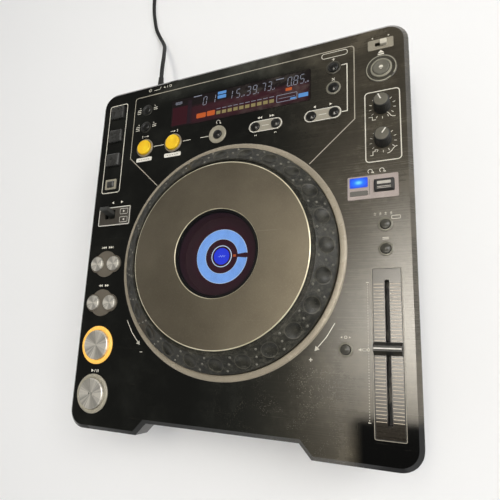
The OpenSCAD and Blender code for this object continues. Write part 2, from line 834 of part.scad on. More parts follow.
module jog_base() color(dark_grey) translate([0, jog_y, 0]) {
  rotate_extrude($fn = 96) polygon([
    [post_r - 4, pan_z],
    [pan_wall_r, pan_z],
    [pan_wall_r, panel_under],
    [pan_wall_r - 2.5, panel_under],
    [pan_wall_r - 2.5, pan_z + pan_t],
    [web_in + 3, pan_z + pan_t],
    [web_in + 3, hub_lip_z - run_gap],
    [post_r, hub_lip_z - run_gap],
    [post_r, display_z],
    [post_r - 4, display_z]]);
}

// Centre display: a cup on the centre tube with its screen at the bottom, and the lens on its seat
module centre_display() translate([0, jog_y, 0]) {
  color("#1b1420") rotate_extrude($fn = 96) polygon([
    [0, display_z],
    [display_r, display_z],
    [display_r, display_top - 0.5],
    [display_r - 0.5, display_top],
    [lens_r, display_top],
    [lens_r, display_top - lens_t],
    [lens_r - lens_seat, display_top - lens_t],
    [lens_r - lens_seat, screen_z],
    [0, screen_z]]);
  color("#3a2c3c") translate([0, 0, display_top - lens_t + lens_gap])
    cylinder(r = lens_r - lens_gap, h = lens_t - lens_gap);
}

// ---- moving controls ----

shaft_r = 3;
knob_lift = 0.6;
pot_top = panel_under - 4;

// Rotary knob with tapered sides, a pointer groove and its shaft down into the control
module rotary_knob(y, turn) {
  r = knob_d / 2;
  translate([right_col, y, 0]) rotate([0, 0, turn]) {
    difference() {
      rotate_extrude() polygon([
        [0, panel_top + knob_lift],
        [r, panel_top + knob_lift],
        [r, panel_top + 1.8],
        [r - 0.5, panel_top + knob_h - 0.9],
        [r - 1.4, panel_top + knob_h],
        [0, panel_top + knob_h]]);
      translate([-0.6, 1, panel_top + knob_h - 0.4]) cube([1.2, r, 1]);
    }
    translate([0, 0, pot_top - 5]) cylinder(r = shaft_r, h = panel_top + knob_lift - pot_top + 5 + eps);
  }
}

module touch_knob() color(satin_black) rotary_knob(touch_y, 24);
module release_knob() color(satin_black) rotary_knob(release_y, -36);

fader_y = slider_y + fader_rest;
fader_foot = panel_under - 8;
fader_z = panel_top + plate_h + run_gap;

// Fader cap: a broad foot, flanks that slope up to a ridge, and the stem through the slot
module fader_cap() color("#1d1d1d") {
  translate([right_col, fader_y, 0]) {
    difference() {
      translate([-fader_w / 2, 0, fader_z]) rotate([90, 0, 90]) linear_extrude(fader_w) polygon([
        [-fader_d / 2, 0],
        [fader_d / 2, 0],
        [fader_d / 2, 3.2],
        [2.6, fader_h - 2.2],
        [2, fader_h],
        [-2, fader_h],
        [-2.6, fader_h - 2.2],
        [-fader_d / 2, 3.2]]);
      translate([-fader_w / 2 - 1, -0.5, fader_z + fader_h - 0.4]) cube([fader_w + 2, 1, 1]);
    }
    translate([-fader_stem_w / 2, -fader_stem_l / 2, fader_foot])
      cube([fader_stem_w, fader_stem_l, fader_z + eps - fader_foot]);
  }
}

lever_rest = -lever_swing / 2;

// Paddle lever, leaning to the rear at rest, on a cross pin below the panel
module direction_lever() color(satin_black)
translate([lever_x, lever_y, lever_pivot_z]) rotate([lever_rest, 0, 0]) {
  top = panel_top + lever_h - lever_pivot_z;
  waist = panel_top - lever_pivot_z;
  translate([-lever_w / 2, 0, 0]) rotate([90, 0, 90]) linear_extrude(lever_w) polygon([
    [-lever_t / 2, 0],
    [lever_t / 2, 0],
    [lever_t / 2 - 0.4, waist],
    [lever_t / 2, top - 1.2],
    [lever_t / 2 - 1, top],
    [1 - lever_t / 2, top],
    [-lever_t / 2, top - 1.2],
    [0.4 - lever_t / 2, waist]]);
  translate([-lever_w / 2 - 3, 0, 0]) rotate([0, 90, 0]) cylinder(r = lever_t / 2, h = lever_w + 6);
}

lock_rest = lock_travel / 2;
lock_knob_h = 3;

module eject_lock() color("#b9b2a4") translate([lock_x + lock_rest, lock_y, 0]) {
  slab([0, 0], 5.4, 4.6, 0.8, panel_top + plate_h + seat_gap, panel_top + plate_h + lock_knob_h);
  slab([0, 0], 3.4, 2.6, 0.6, panel_under - 3, panel_top + plate_h + seat_gap + eps);
}

module hot_cue_1() color(satin_black) square_key(SQUARE_KEYS[0][0], hot_w, hot_d, 3);
module hot_cue_2() color(satin_black) square_key(SQUARE_KEYS[1][0], hot_w, hot_d, 3);
module hot_cue_3() color(satin_black) square_key(SQUARE_KEYS[2][0], hot_w, hot_d, 3);
module record_mode_key() color(satin_black) square_key(record_at, record_w, record_d, 2.4);
module jog_mode_key() color(satin_black) square_key(mode_at, mode_key_w, mode_key_d, 3);
module time_mode_key() color(satin_black) round_key(time_at, small_r, 1.8, -small_dome);
module display_mode_key() color(satin_black) round_key(display_at, small_r, 1.8, -small_dome);
module memory_key() color(satin_black) round_key(memory_at, small_r, 1.8, -small_dome);
module delete_key() color(satin_black) round_key(delete_at, small_r, 1.8, -small_dome);
module reloop_key() color(satin_black) round_key(reloop_at, small_r, 2, -small_dome);
module wave_back_key() color(satin_black) round_key(wave_back_at, small_r, 2.4, -small_dome);
module wave_forward_key() color(satin_black) round_key(wave_forward_at, small_r, 2.4, -small_dome);
module call_back_key() color(satin_black) round_key(call_back_at, small_r, 2.4, -small_dome);
module call_forward_key() color(satin_black) round_key(call_forward_at, small_r, 2.4, -small_dome);
module tempo_range_key() color(satin_black) round_key(range_at, tempo_key_r, 1.8, -small_dome);
module master_tempo_key() color(satin_black) round_key(master_at, tempo_key_r, 1.8, -small_dome);
module tempo_reset_key() color(satin_black) round_key(reset_at, tempo_key_r, 1.8, -small_dome);
module track_back_key() color("silver") round_key(track_back_at, search_r, 3, 0.9);
module track_forward_key() color("silver") round_key(track_forward_at, search_r, 3, 0.9);
module search_back_key() color("silver") round_key(search_back_at, search_r, 3, 0.9);
module search_forward_key() color("silver") round_key(search_forward_at, search_r, 3, 0.9);
module cue_key() color("silver") round_key(cue_at, transport_r, 3.6, 0.8);
module play_key() color("silver") round_key(play_at, transport_r, 3.6, 0.8);
module loop_in_key() color("#f2c40c") round_key(loop_in_at, loop_r, 3.2, 0.5);
module loop_out_key() color("#f2c40c") round_key(loop_out_at, loop_r, 3.2, 0.5);
module eject_key() color(satin_black) round_key(eject_at, eject_r, 2.6, 0.5);

power_travel = 2.5;
power_out = 3;
power_len = 20;
power_switch_l = 12;
power_back = rear_face + power_out - power_len - run_gap;

module power_key() color(satin_black)
translate([power_x, rear_face + power_out, inlet_z]) rotate([90, 0, 0]) {
  translate([0, 0, 0.8]) linear_extrude(power_len - 0.8) rounded_rect(power_w, power_w, 1);
  translate([0, 0, 0]) linear_extrude(0.8 + eps) rounded_rect(power_w - 1, power_w - 1, 0.6);
  translate([0, 0, power_out + power_travel + sheet_t + seat_gap])
    linear_extrude(1.5) rounded_rect(power_w + 3, power_w + 3, 1);
}

// ---- inside the cabinet ----

post_d = 5;
board_in = 5;
slider_body_w = 12;
pot_half = 6.5;
left_board_w = 39;
right_board_w = 40;
side_board_l = panel_d - 22;
side_board_y = (front_y + rear_y) / 2 - 1;
rear_board_d = rear_y - loop_y + 2.5;
rear_board_y = loop_y - 9 + rear_board_d / 2;
rear_board_over = 14.5;
rear_board_w = 2 * (inner_col + rear_board_over);
reset_tab = 16;

// Board posts that reach up to the panel
module board_post(x, y) {
  drum([x, y], post_d / 2, board_top - eps, panel_under);
}

module panel_boards() {
  color(board_green) difference() {
    union() {
      translate([-half_w + board_in, side_board_y - side_board_l / 2, board_z])
        cube([left_board_w, side_board_l, board_t]);
      translate([half_w - board_in - right_board_w, side_board_y - side_board_l / 2, board_z])
        cube([right_board_w, side_board_l, board_t]);
      translate([reset_at.x - reset_tab / 2, slider_y - reset_tab / 2, board_z])
        cube([half_w - board_in - right_board_w + 1 - reset_at.x + reset_tab / 2, reset_tab, board_t]);
      translate([-rear_board_w / 2, rear_board_y - rear_board_d / 2, board_z])
        cube([rear_board_w, rear_board_d - 14, board_t]);
    }
    drum([0, jog_y], pan_wall_r + 0.6, board_z - 1, board_top + 1);
  }
  color("#1c1c1c") {
    for (k = ROUND_KEYS) drum(k[0], 3, board_top - eps, switch_top);
    for (k = SQUARE_KEYS) drum(k[0], 3, board_top - eps, switch_top);
  }
  color(steel_grey) {
    // fader body: a channel that the cap's stem runs in
    difference() {
      slab([right_col, slider_y], slider_body_w, slider_l - 4, 1, board_top - eps, panel_under - 3);
      slab([right_col, slider_y], fader_slot_w, fader_slot_l, 1, fader_foot - 1, panel_under);
    }
    // rotary controls
    for (y = [touch_y, release_y]) difference() {
      slab([right_col, y], 2 * pot_half, 2 * pot_half, 1, board_top - eps, pot_top);
      drum([right_col, y], shaft_r + run_gap, pot_top - 5.3, pot_top + 1);
    }
    // lever bracket
    for (s = [-1, 1]) difference() {
      translate([lever_x + s * (lever_w / 2 + 2.2) - 1, lever_y - 5, board_top - eps])
        cube([2, 10, lever_pivot_z + 4 - board_top]);
      translate([lever_x - 12, lever_y, lever_pivot_z]) rotate([0, 90, 0])
        cylinder(r = lever_t / 2 + run_gap, h = 24);
    }
    // eject lock switch
    difference() {
      slab([lock_x, lock_y], 12, 7, 1, board_top - eps, panel_under - 1);
      slab([lock_x, lock_y], lock_slot_w, lock_slot_d, 1, panel_under - 3.6, panel_under);
    }
    // posts
    for (y = [front_y + 12, play_at.y + 23, lever_y - 22, hot_top_y - 1.5 * hot_pitch])
      board_post(-half_w + board_in + 4, y);
    for (y = [front_y + 12, slider_y + slider_l / 2 + 5, master_at.y + 10, release_y + knob_pitch / 2])
      board_post(half_w - board_in - 4, y);
    for (x = [loop_in_at.x + loop_out_at.x, reloop_at.x + wave_back_at.x, wave_x + call_x])
      board_post(x / 2, loop_y);
  }
  // segment display under the window
  color("#14141a")
    slab([window_x, window_y], window_w - 6, window_d - 4, 1, board_top - eps, panel_under - 1.8);
}

module inner_boards() {
  color(board_green) {
    slab([main_board_x, inner_board_y], main_board_w, inner_board_d, 1, standoff_z, standoff_z + board_t);
    slab([supply_board_x, inner_board_y], supply_board_w, inner_board_d, 1, standoff_z, standoff_z + board_t);
  }
  top = standoff_z + board_t - eps;
  color("#c9a227") slab([supply_board_x + 16, inner_board_y - 16], 42, 36, 1, top, top + 30);
  color("#1d2a4a") for (i = [0:3]) drum([supply_board_x - 24, inner_board_y - 30 + i * 14], 5, top, top + 18);
  color(steel_grey) translate([supply_board_x - 10, inner_board_y + 14, top]) {
    for (i = [0:4]) translate([i * 9, 0, 0]) cube([2, 16, 20]);
    cube([38, 2, 20]);
  }
  color("#1c1c1c") {
    // power switch behind its key
    translate([power_x - 7, power_back - power_switch_l, top])
      cube([14, power_switch_l, inlet_z + 8 - top]);
    slab([main_board_x - 20, inner_board_y], 24, 24, 0.5, top, top + 2);
    slab([main_board_x + 22, inner_board_y - 14], 20, 14, 0.5, top, top + 2);
    slab([main_board_x + 20, inner_board_y + 14], 16, 16, 0.5, top, top + 2);
    for (i = [0:5]) drum([main_board_x - 55 + i * 8, inner_board_y - 30], 3, top, top + 8);
  }
}

// Disc mechanism: two decks with side rails, open to the front, on four posts
path_w = disc_d + 4;
path_h = 6;
lower_deck = disc_z - 15;
upper_deck = disc_z + path_h / 2 + 6;
mech_front = fascia_front + fascia_t + 2.5;
mech_w = disc_d + 18;
rail_t = 4;
mech_post_r = 5;
mech_post_in = 12;
roller_end = mech_w / 2 - rail_t - 7;
spindle_y = mech_front + disc_d / 2 + 2;
mech_l = disc_d + 26;
roller_y = mech_front + 9;
roller_z = disc_z - path_h / 2 - 0.5 - roller_r;
rod_x = 18;
rod_z = disc_z - 8.5;
rod_r = 1.5;
rib_t = 3;
hub_r = 15;
rod_front = spindle_y - hub_r - 8;
rod_rear = mech_front + mech_l - rail_t - 2;
sled_start = 18;
sled_l = 22;
sled_y = spindle_y + sled_start;
hub_shaft_r = 1.5;
motor_h = 7;
clamp_r = 14;

module mech_frame() {
  color(steel_grey) difference() {
    union() {
      translate([-mech_w / 2, mech_front, lower_deck]) cube([mech_w, mech_l, deck_t]);
      translate([-mech_w / 2, mech_front, upper_deck]) cube([mech_w, mech_l, deck_t]);
      for (s = [-1, 1]) translate([s * (mech_w - rail_t) / 2 - rail_t / 2, mech_front, lower_deck])
        cube([rail_t, mech_l, upper_deck + deck_t - lower_deck]);
      translate([-mech_w / 2, mech_front + mech_l - rail_t, lower_deck])
        cube([mech_w, rail_t, upper_deck + deck_t - lower_deck]);
      for (x = [-mech_w / 2 + mech_post_r, mech_w / 2 - mech_post_r],
           y = [mech_front + mech_post_in, mech_front + mech_l - mech_post_in])
        drum([x, y], mech_post_r, floor_z, lower_deck + eps);
      // ribs at the ends of the rods
      for (y = [rod_front, rod_rear - rib_t])
        translate([-rod_x - 5, y, lower_deck]) cube([2 * rod_x + 10, rib_t, rod_z + 3 - lower_deck]);
    }
    drum([0, spindle_y], hub_shaft_r + run_gap, lower_deck - 1, lower_deck + deck_t + 1);
    translate([-mech_w / 2 - 1, roller_y, roller_z]) rotate([0, 90, 0])
      cylinder(r = 2 + run_gap, h = mech_w + 2);
    slab([0, roller_y], 2 * roller_end + 2, 2 * roller_r + 2, 1, lower_deck - 1, lower_deck + deck_t + 1);
    translate([-15, sled_y, lower_deck - 1]) cube([30, rod_rear - rib_t - 1 - sled_y, deck_t + 2]);
  }
  // guide rods of the pickup
  color("silver") for (s = [-1, 1])
    translate([s * rod_x, rod_rear, rod_z]) rotate([90, 0, 0])
      cylinder(r = rod_r, h = rod_rear - rod_front);
  // clamp over the turntable
  color("#303030") {
    drum([0, spindle_y], clamp_r, disc_z + path_h / 2 + 1, disc_z + path_h / 2 + 3.5);
    drum([0, spindle_y], 6, disc_z + path_h / 2 + 3.4, upper_deck + eps);
  }
  // motor under the turntable
  color("#8a8a8a") ring([0, spindle_y], 13, hub_shaft_r + run_gap, lower_deck - motor_h, lower_deck + eps);
}

hub_top = disc_z - path_h / 2 - 0.6;

module spindle_hub() color("#3a3a3a") translate([0, spindle_y, 0]) rotate_extrude() polygon([
  [0, lower_deck - motor_h + 1],
  [hub_shaft_r, lower_deck - motor_h + 1],
  [hub_shaft_r, lower_deck + deck_t + 0.3],
  [6, lower_deck + deck_t + 0.3],
  [6, hub_top - 4],
  [hub_r, hub_top - 4],
  [hub_r, hub_top - 2],
  [7, hub_top - 2],
  [5.5, hub_top],
  [0, hub_top]]);

module pickup_sled() color("#2f2f33") difference() {
  union() {
    translate([-rod_x - 4, sled_y, rod_z - 3.5]) cube([2 * rod_x + 8, sled_l, 7]);
    drum([0, sled_y + 8], 5, rod_z + 3.4, rod_z + 4.6);
  }
  for (s = [-1, 1]) translate([s * rod_x, sled_y + sled_l + 1, rod_z]) rotate([90, 0, 0])
    cylinder(r = rod_r + run_gap, h = sled_l + 2);
}

module loading_roller() color("#1b1b1b") translate([0, roller_y, roller_z]) rotate([0, 90, 0]) {
  translate([0, 0, -mech_w / 2 + 0.2]) cylinder(r = 2, h = mech_w - 0.4);
  for (z = [-roller_end, 4]) translate([0, 0, z]) cylinder(r = roller_r, h = roller_end - 4);
}

phono_r = 4.15;
phono_len = 9;
phono_flange = 1.8;
phono_pin_r = 1.6;
phono_box = 12;
phono_box_l = 11;
control_box = 10;
inlet_ear_w = 3.5;
inlet_ear_h = 1.5;

module rear_sockets() {
  y0 = rear_face;
  for (x = SOCKETS) color("#1c1c1c") translate([x, 0, phono_z]) rotate([-90, 0, 0]) difference() {
    union() {
      translate([0, 0, y0]) cylinder(r = 7, h = phono_flange);
      translate([0, 0, y0 - sheet_t - eps]) cylinder(r = rear_holes_r - seat_gap, h = sheet_t + 1);
      translate([0, 0, y0 + phono_flange - eps])
        cylinder(r = phono_r, h = socket_end_y - y0 - phono_flange + eps);
      translate([0, 0, y0 - sheet_t - phono_box_l / 2])
        cube([phono_box, phono_box, phono_box_l], center = true);
    }
    translate([0, 0, socket_end_y - phono_len]) cylinder(r = phono_pin_r, h = phono_len + 1);
  }
  // control socket
  color("#1c1c1c") difference() {
    union() {
      translate([control_x, y0 + 3, phono_z]) rotate([90, 0, 0]) cylinder(r = 3.3, h = 8);
      translate([control_x, y0 + 1.5, phono_z]) rotate([90, 0, 0]) cylinder(r = 5.2, h = 1.5);
      translate([control_x, y0 - sheet_t - phono_box_l / 2, phono_z])
        cube([control_box, phono_box_l, control_box], center = true);
    }
    translate([control_x, y0 + 4, phono_z]) rotate([90, 0, 0]) cylinder(r = 1.75, h = 14);
  }
  // mains inlet
  color("#1c1c1c") difference() {
    union() {
      translate([inlet_x, y0 + 1.5, inlet_z]) rotate([90, 0, 0])
        linear_extrude(1.5) rounded_rect(inlet_w + 2 * inlet_ear_w, inlet_h + 2 * inlet_ear_h, 2);
      translate([inlet_x, y0 - 7.5, inlet_z]) cube([inlet_w - 0.6, 17, inlet_h - 0.6], center = true);
    }
    translate([inlet_x, y0 + 3, inlet_z]) rotate([90, 0, 0])
      linear_extrude(15) rounded_rect(plug_nose_w + 2 * run_gap, plug_nose_h + 2 * run_gap, 2);
  }
}

// ---- mains lead ----

plug_nose_w = 15;
plug_nose_h = 8;
plug_body_w = 20;
plug_body_h = 11;
plug_body_l = 19;
relief_l = 24;
plug_face = rear_face + 1.6;
relief_y = plug_face + plug_body_l;
lead_exit = [inlet_x, relief_y + relief_l, inlet_z];

// The lead's way from the strain relief down to the table and back to the coil
LEAD_ROUTE = [lead_exit, [-116, 226, 44], [-117, 238, 42], [-120, 251, 37], [-125, 264, 30],
  [-131, 277, 21.5], [-138, 290, 13], [-146, 303, 6.5], [-154, 316, 3], [-161, 330, 2.4],
  [-165, 345, 2.4], [-168, 361, 2.4], [-169.4, 378, 2.4], [-169.4, 396, 2.4], [-169.4, 412, 2.4],
  [-169.4, 424, 2.4]];
// From the top of the coil round to the plug
TAIL_ROUTE = [[-137.3, 470.2, 7.2], [-125, 472, 7.1], [-113, 472.4, 5.4], [-101, 470.6, 3.4],
  [-90, 465.5, 2.6], [-80.5, 457.5, 3.2], [-73.5, 447.5, 5], [-69.8, 436.5, 6.6], [-69, 425, 7]];
coil_at = [-130.6, 432];
coil_turn_r = 29.2;
coil_cols = 5;
coil_rows = 2;
wall_plug_at = [-69, 425, 7];

// Tube of eight sides along a list of points
module tube(route, r) {
  sides = 8;
  n = len(route);
  rings = [for (i = [0:n - 1])
    let (
      ahead = route[min(i + 1, n - 1)] - route[max(i - 1, 0)],
      along = ahead / norm(ahead),
      across = cross([0, 0, 1], along) / norm(cross([0, 0, 1], along)),
      up = cross(along, across)
    ) [for (k = [0:sides - 1]) route[i] + r * (cos(k * 45 + 22.5) * across + sin(k * 45 + 22.5) * up)]];
  polyhedron(
    points = [for (ring = rings) each ring],
    faces = concat(
      [[for (k = [0:sides - 1]) k]],
      [for (i = [0:n - 2], k = [0:sides - 1])
        let (j = (k + 1) % sides) [i * sides + k, (i + 1) * sides + k, (i + 1) * sides + j, i * sides + j]],
      [[for (k = [sides - 1:-1:0]) (n - 1) * sides + k]]));
}

module inlet_plug() color(satin_black) {
  translate([inlet_x, plug_face + eps, inlet_z]) rotate([90, 0, 0])
    linear_extrude(13) rounded_rect(plug_nose_w, plug_nose_h, 2);
  translate([inlet_x, relief_y, inlet_z]) rotate([90, 0, 0])
    linear_extrude(plug_body_l) rounded_rect(plug_body_w, plug_body_h, 3);
  translate([inlet_x, relief_y - eps, inlet_z]) rotate([-90, 0, 0])
    cylinder(r1 = 4.4, r2 = lead_d / 2 + 0.5, h = relief_l + eps);
}

module mains_lead() color(satin_black) {
  tube(LEAD_ROUTE, lead_d / 2);
  tube(TAIL_ROUTE, lead_d / 2);
}

module lead_coil() color(satin_black) translate([coil_at.x, coil_at.y, 0]) {
  half = coil_cols * lead_d / 2;
  rotate_extrude() translate([coil_turn_r, coil_rows * lead_d / 2])
    square([2 * half, coil_rows * lead_d], center = true);
}

wall_plug_w = 34;
wall_plug_h = 14;
wall_plug_l = 34;
pin_r = 2;
pin_l = 19;
pin_pitch = 19;

// Flat two-pin plug, lying on the table with its pins to the front
module wall_plug() translate(wall_plug_at) rotate([90, 0, 0]) {
  color(satin_black) {
    cylinder(r1 = lead_d / 2 + 0.5, r2 = 5, h = 14);
    translate([0, 0, 14 - eps]) linear_extrude(wall_plug_l - 10) polygon([
      [-wall_plug_w / 2, 0],
      [-wall_plug_w / 2 + 8, -wall_plug_h / 2],
      [wall_plug_w / 2 - 8, -wall_plug_h / 2],
      [wall_plug_w / 2, 0],
      [wall_plug_w / 2 - 8, wall_plug_h / 2],
      [-wall_plug_w / 2 + 8, wall_plug_h / 2]]);
  }
  color("silver") for (s = [-1, 1])
    translate([s * pin_pitch / 2, 0, wall_plug_l + 4 - eps]) cylinder(r = pin_r, h = pin_l);
}

bottom_chassis();
rubber_feet();
case_screws();
body_shell();
top_panel();
display_window();
jog_trim_ring();
slot_fascia();
key_bezels();
transport_rings();
slider_plate();
control_plates();
mode_lamps();
jog_base();
centre_display();
panel_boards();
inner_boards();
mech_frame();
rear_sockets();
jog_dial();
jog_plate();
fader_cap();
touch_knob();
release_knob();
direction_lever();
eject_lock();
hot_cue_1();
hot_cue_2();
hot_cue_3();
record_mode_key();
time_mode_key();
display_mode_key();
track_back_key();
track_forward_key();
search_back_key();
search_forward_key();
cue_key();
play_key();
loop_in_key();
loop_out_key();
reloop_key();
wave_back_key();
wave_forward_key();
memory_key();
delete_key();
call_back_key();
call_forward_key();
eject_key();
jog_mode_key();
tempo_range_key();
master_tempo_key();
tempo_reset_key();
power_key();
spindle_hub();
pickup_sled();
loading_roller();
inlet_plug();
mains_lead();
lead_coil();
wall_plug();
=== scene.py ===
import json
import math

import bmesh
import bpy
from mathutils import Matrix, Vector


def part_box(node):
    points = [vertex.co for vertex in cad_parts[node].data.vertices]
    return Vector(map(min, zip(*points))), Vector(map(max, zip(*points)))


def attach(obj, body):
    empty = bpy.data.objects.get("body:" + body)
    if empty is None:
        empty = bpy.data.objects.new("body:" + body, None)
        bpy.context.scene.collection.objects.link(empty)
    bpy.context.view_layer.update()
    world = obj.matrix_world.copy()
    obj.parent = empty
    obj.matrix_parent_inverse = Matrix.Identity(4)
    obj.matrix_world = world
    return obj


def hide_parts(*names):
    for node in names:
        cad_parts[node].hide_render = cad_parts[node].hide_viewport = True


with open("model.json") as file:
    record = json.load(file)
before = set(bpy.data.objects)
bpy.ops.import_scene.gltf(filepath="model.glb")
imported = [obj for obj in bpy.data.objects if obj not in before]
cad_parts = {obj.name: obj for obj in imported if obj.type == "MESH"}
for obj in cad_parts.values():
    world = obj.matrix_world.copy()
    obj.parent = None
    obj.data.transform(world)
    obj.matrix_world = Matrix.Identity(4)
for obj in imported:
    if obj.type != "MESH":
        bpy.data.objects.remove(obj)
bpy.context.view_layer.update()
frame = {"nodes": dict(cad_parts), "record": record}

mm = 0.001
cadNodes = frame["nodes"]
bodyOf = {node: body for body, members in frame["record"]["behaviour"]["bodies"].items() for node in members}
slotOf = {part["node"]: part["material_slot"] for part in frame["record"]["subparts"]}


# the camera, set where the player is looked down on from its right

cameraValues = {
    "place": (0.164379, -0.111742, 0.430161),
    "lookAlong": (-0.41372232, 0.19862278, -0.88847219),
    "upward": (0.04014429, 0.97894162, 0.20015429),
    "focalPixels": 432.763,
    "principalPixel": (227.452, 269.595),
    "imagePixels": 500,
    "sensorWidth": 36.0,
}


def addObject(name, data):
    piece = bpy.data.objects.new(name, data)
    bpy.context.scene.collection.objects.link(piece)
    return piece


def makeCamera(values):
    data = bpy.data.cameras.new("viewCamera")
    camera = addObject("viewCamera", data)
    pixels = values["imagePixels"]
    data.sensor_width = values["sensorWidth"]
    data.lens = values["focalPixels"] / pixels * values["sensorWidth"]
    data.shift_x = (pixels / 2 - values["principalPixel"][0]) / pixels
    data.shift_y = (values["principalPixel"][1] - pixels / 2) / pixels
    data.clip_start = 0.01
    back = -Vector(values["lookAlong"]).normalized()
    side = Vector(values["upward"]).cross(back).normalized()
    turned = Matrix((side, back.cross(side), back)).transposed().to_4x4()
    camera.matrix_world = Matrix.Translation(values["place"]) @ turned
    bpy.context.scene.camera = camera


makeCamera(cameraValues)
print("camera ready")


# node trees

class NodeValue:
    # an output socket that sums, products and powers can be written with

    def __init__(self, tree, socket):
        self.tree = tree
        self.socket = socket

    def worked(self, operation, first, second):
        return self.tree.add("ShaderNodeMath", {"operation": operation}, {0: first, 1: second})

    def __add__(self, other):
        return self.worked("ADD", self, other)

    def __radd__(self, other):
        return self.worked("ADD", other, self)

    def __sub__(self, other):
        return self.worked("SUBTRACT", self, other)

    def __rsub__(self, other):
        return self.worked("SUBTRACT", other, self)

    def __mul__(self, other):
        return self.worked("MULTIPLY", self, other)

    def __rmul__(self, other):
        return self.worked("MULTIPLY", other, self)

    def __truediv__(self, other):
        return self.worked("DIVIDE", self, other)

    def __rtruediv__(self, other):
        return self.worked("DIVIDE", other, self)

    def __pow__(self, other):
        return self.worked("POWER", self, other)

    def __mod__(self, other):
        return self.worked("FLOORED_MODULO", self, other)

    def __neg__(self):
        return self.worked("MULTIPLY", self, -1.0)


class NodeTree:
    # one way to add any node to a shader or geometry tree

    def __init__(self, tree):
        self.nodes = tree.nodes
        self.links = tree.links

    def add(self, kind, settings=None, inputs=None, output=0):
        node = self.nodes.new(kind)
        for name, value in (settings or {}).items():
            if name == "stops":
                self.fillRamp(node.color_ramp, value)
            else:
                setattr(node, name, value)
        for name, value in (inputs or {}).items():
            self.feed(node.inputs[name], value)
        return NodeValue(self, node.outputs[output])

    def feed(self, socket, value):
        if isinstance(value, NodeValue):
            self.links.new(value.socket, socket)
        elif socket.type == "RGBA" and len(value) == 3:
            socket.default_value = (*value, 1.0)
        else:
            socket.default_value = value

    def fillRamp(self, ramp, stops):
        while len(ramp.elements) < len(stops):
            ramp.elements.new(1.0)
        for element, (position, colour) in zip(ramp.elements, stops):
            element.position = position
            element.color = (*colour, 1.0)

    def maths(self, operation, first, second=0.0):
        return self.add("ShaderNodeMath", {"operation": operation}, {0: first, 1: second})

    def split(self, vector):
        node = self.nodes.new("ShaderNodeSeparateXYZ")
        self.feed(node.inputs[0], vector)
        return [NodeValue(self, node.outputs[i]) for i in range(3)]

    def joined(self, x, y, z):
        return self.add("ShaderNodeCombineXYZ", None, {0: x, 1: y, 2: z})


class Finish(NodeTree):
    # a material of one Principled shader, with the patterns that its finishes share

    def __init__(self, name):
        self.material = bpy.data.materials.new(name)
        self.material.use_nodes = True
        super().__init__(self.material.node_tree)
        self.nodes.clear()
        self.place = self.add("ShaderNodeTexCoord", None, None, "Object")
        self.x, self.y, self.z = self.split(self.place)

    def grown(self, value, low, high, smooth=True):
        kind = "SMOOTHSTEP" if smooth else "LINEAR"
        return self.add("ShaderNodeMapRange", {"interpolation_type": kind, "clamp": True},
                        {"Value": value, "From Min": low, "From Max": high, "To Min": 0.0, "To Max": 1.0})

    def noise(self, scale, detail=3.0, stretch=(1.0, 1.0, 1.0), roughness=0.5, shift=(0.0, 0.0, 0.0)):
        place = self.add("ShaderNodeMapping", None,
                         {"Vector": self.place, "Location": shift, "Scale": stretch})
        return self.add("ShaderNodeTexNoise", None,
                        {"Vector": place, "Scale": scale, "Detail": detail, "Roughness": roughness})

    def specks(self, scale, size, stretch=(1.0, 1.0, 1.0)):
        place = self.add("ShaderNodeMapping", None, {"Vector": self.place, "Scale": stretch})
        near = self.add("ShaderNodeTexVoronoi", None, {"Vector": place, "Scale": scale}, "Distance")
        return 1.0 - self.grown(near, size * 0.4, size)

    def mix(self, share, first, second):
        return self.add("ShaderNodeMix", {"data_type": "RGBA"}, {0: share, 6: first, 7: second}, 2)

    def bump(self, height, strength, distance):
        return self.add("ShaderNodeBump", None,
                        {"Height": height, "Strength": strength, "Distance": distance})

    def shade(self, colour, roughness, **more):
        shader = self.nodes.new("ShaderNodeBsdfPrincipled")
        self.feed(shader.inputs["Base Color"], colour)
        self.feed(shader.inputs["Roughness"], roughness)
        for name, value in more.items():
            self.feed(shader.inputs[socketNames.get(name, name)], value)
        out = self.nodes.new("ShaderNodeOutputMaterial")
        self.links.new(shader.outputs[0], out.inputs[0])
        return self.material


socketNames = {
    "metallic": "Metallic",
    "normal": "Normal",
    "specular": "Specular IOR Level",
    "coat": "Coat Weight",
    "coatRoughness": "Coat Roughness",
    "anisotropic": "Anisotropic",
    "alpha": "Alpha",
    "glow": "Emission Color",
    "glowStrength": "Emission Strength",
}


# materials

panelTones = {
    "black": (0.0022, 0.0022, 0.0020),
    "hazeAndSheenLeft": (0.102, 0.106, 0.090),
    "hazeAndSheenRight": (0.120, 0.103, 0.072),
    "wear": (0.30, 0.27, 0.21),
    "wornPatch": (0.083, -0.130),
}


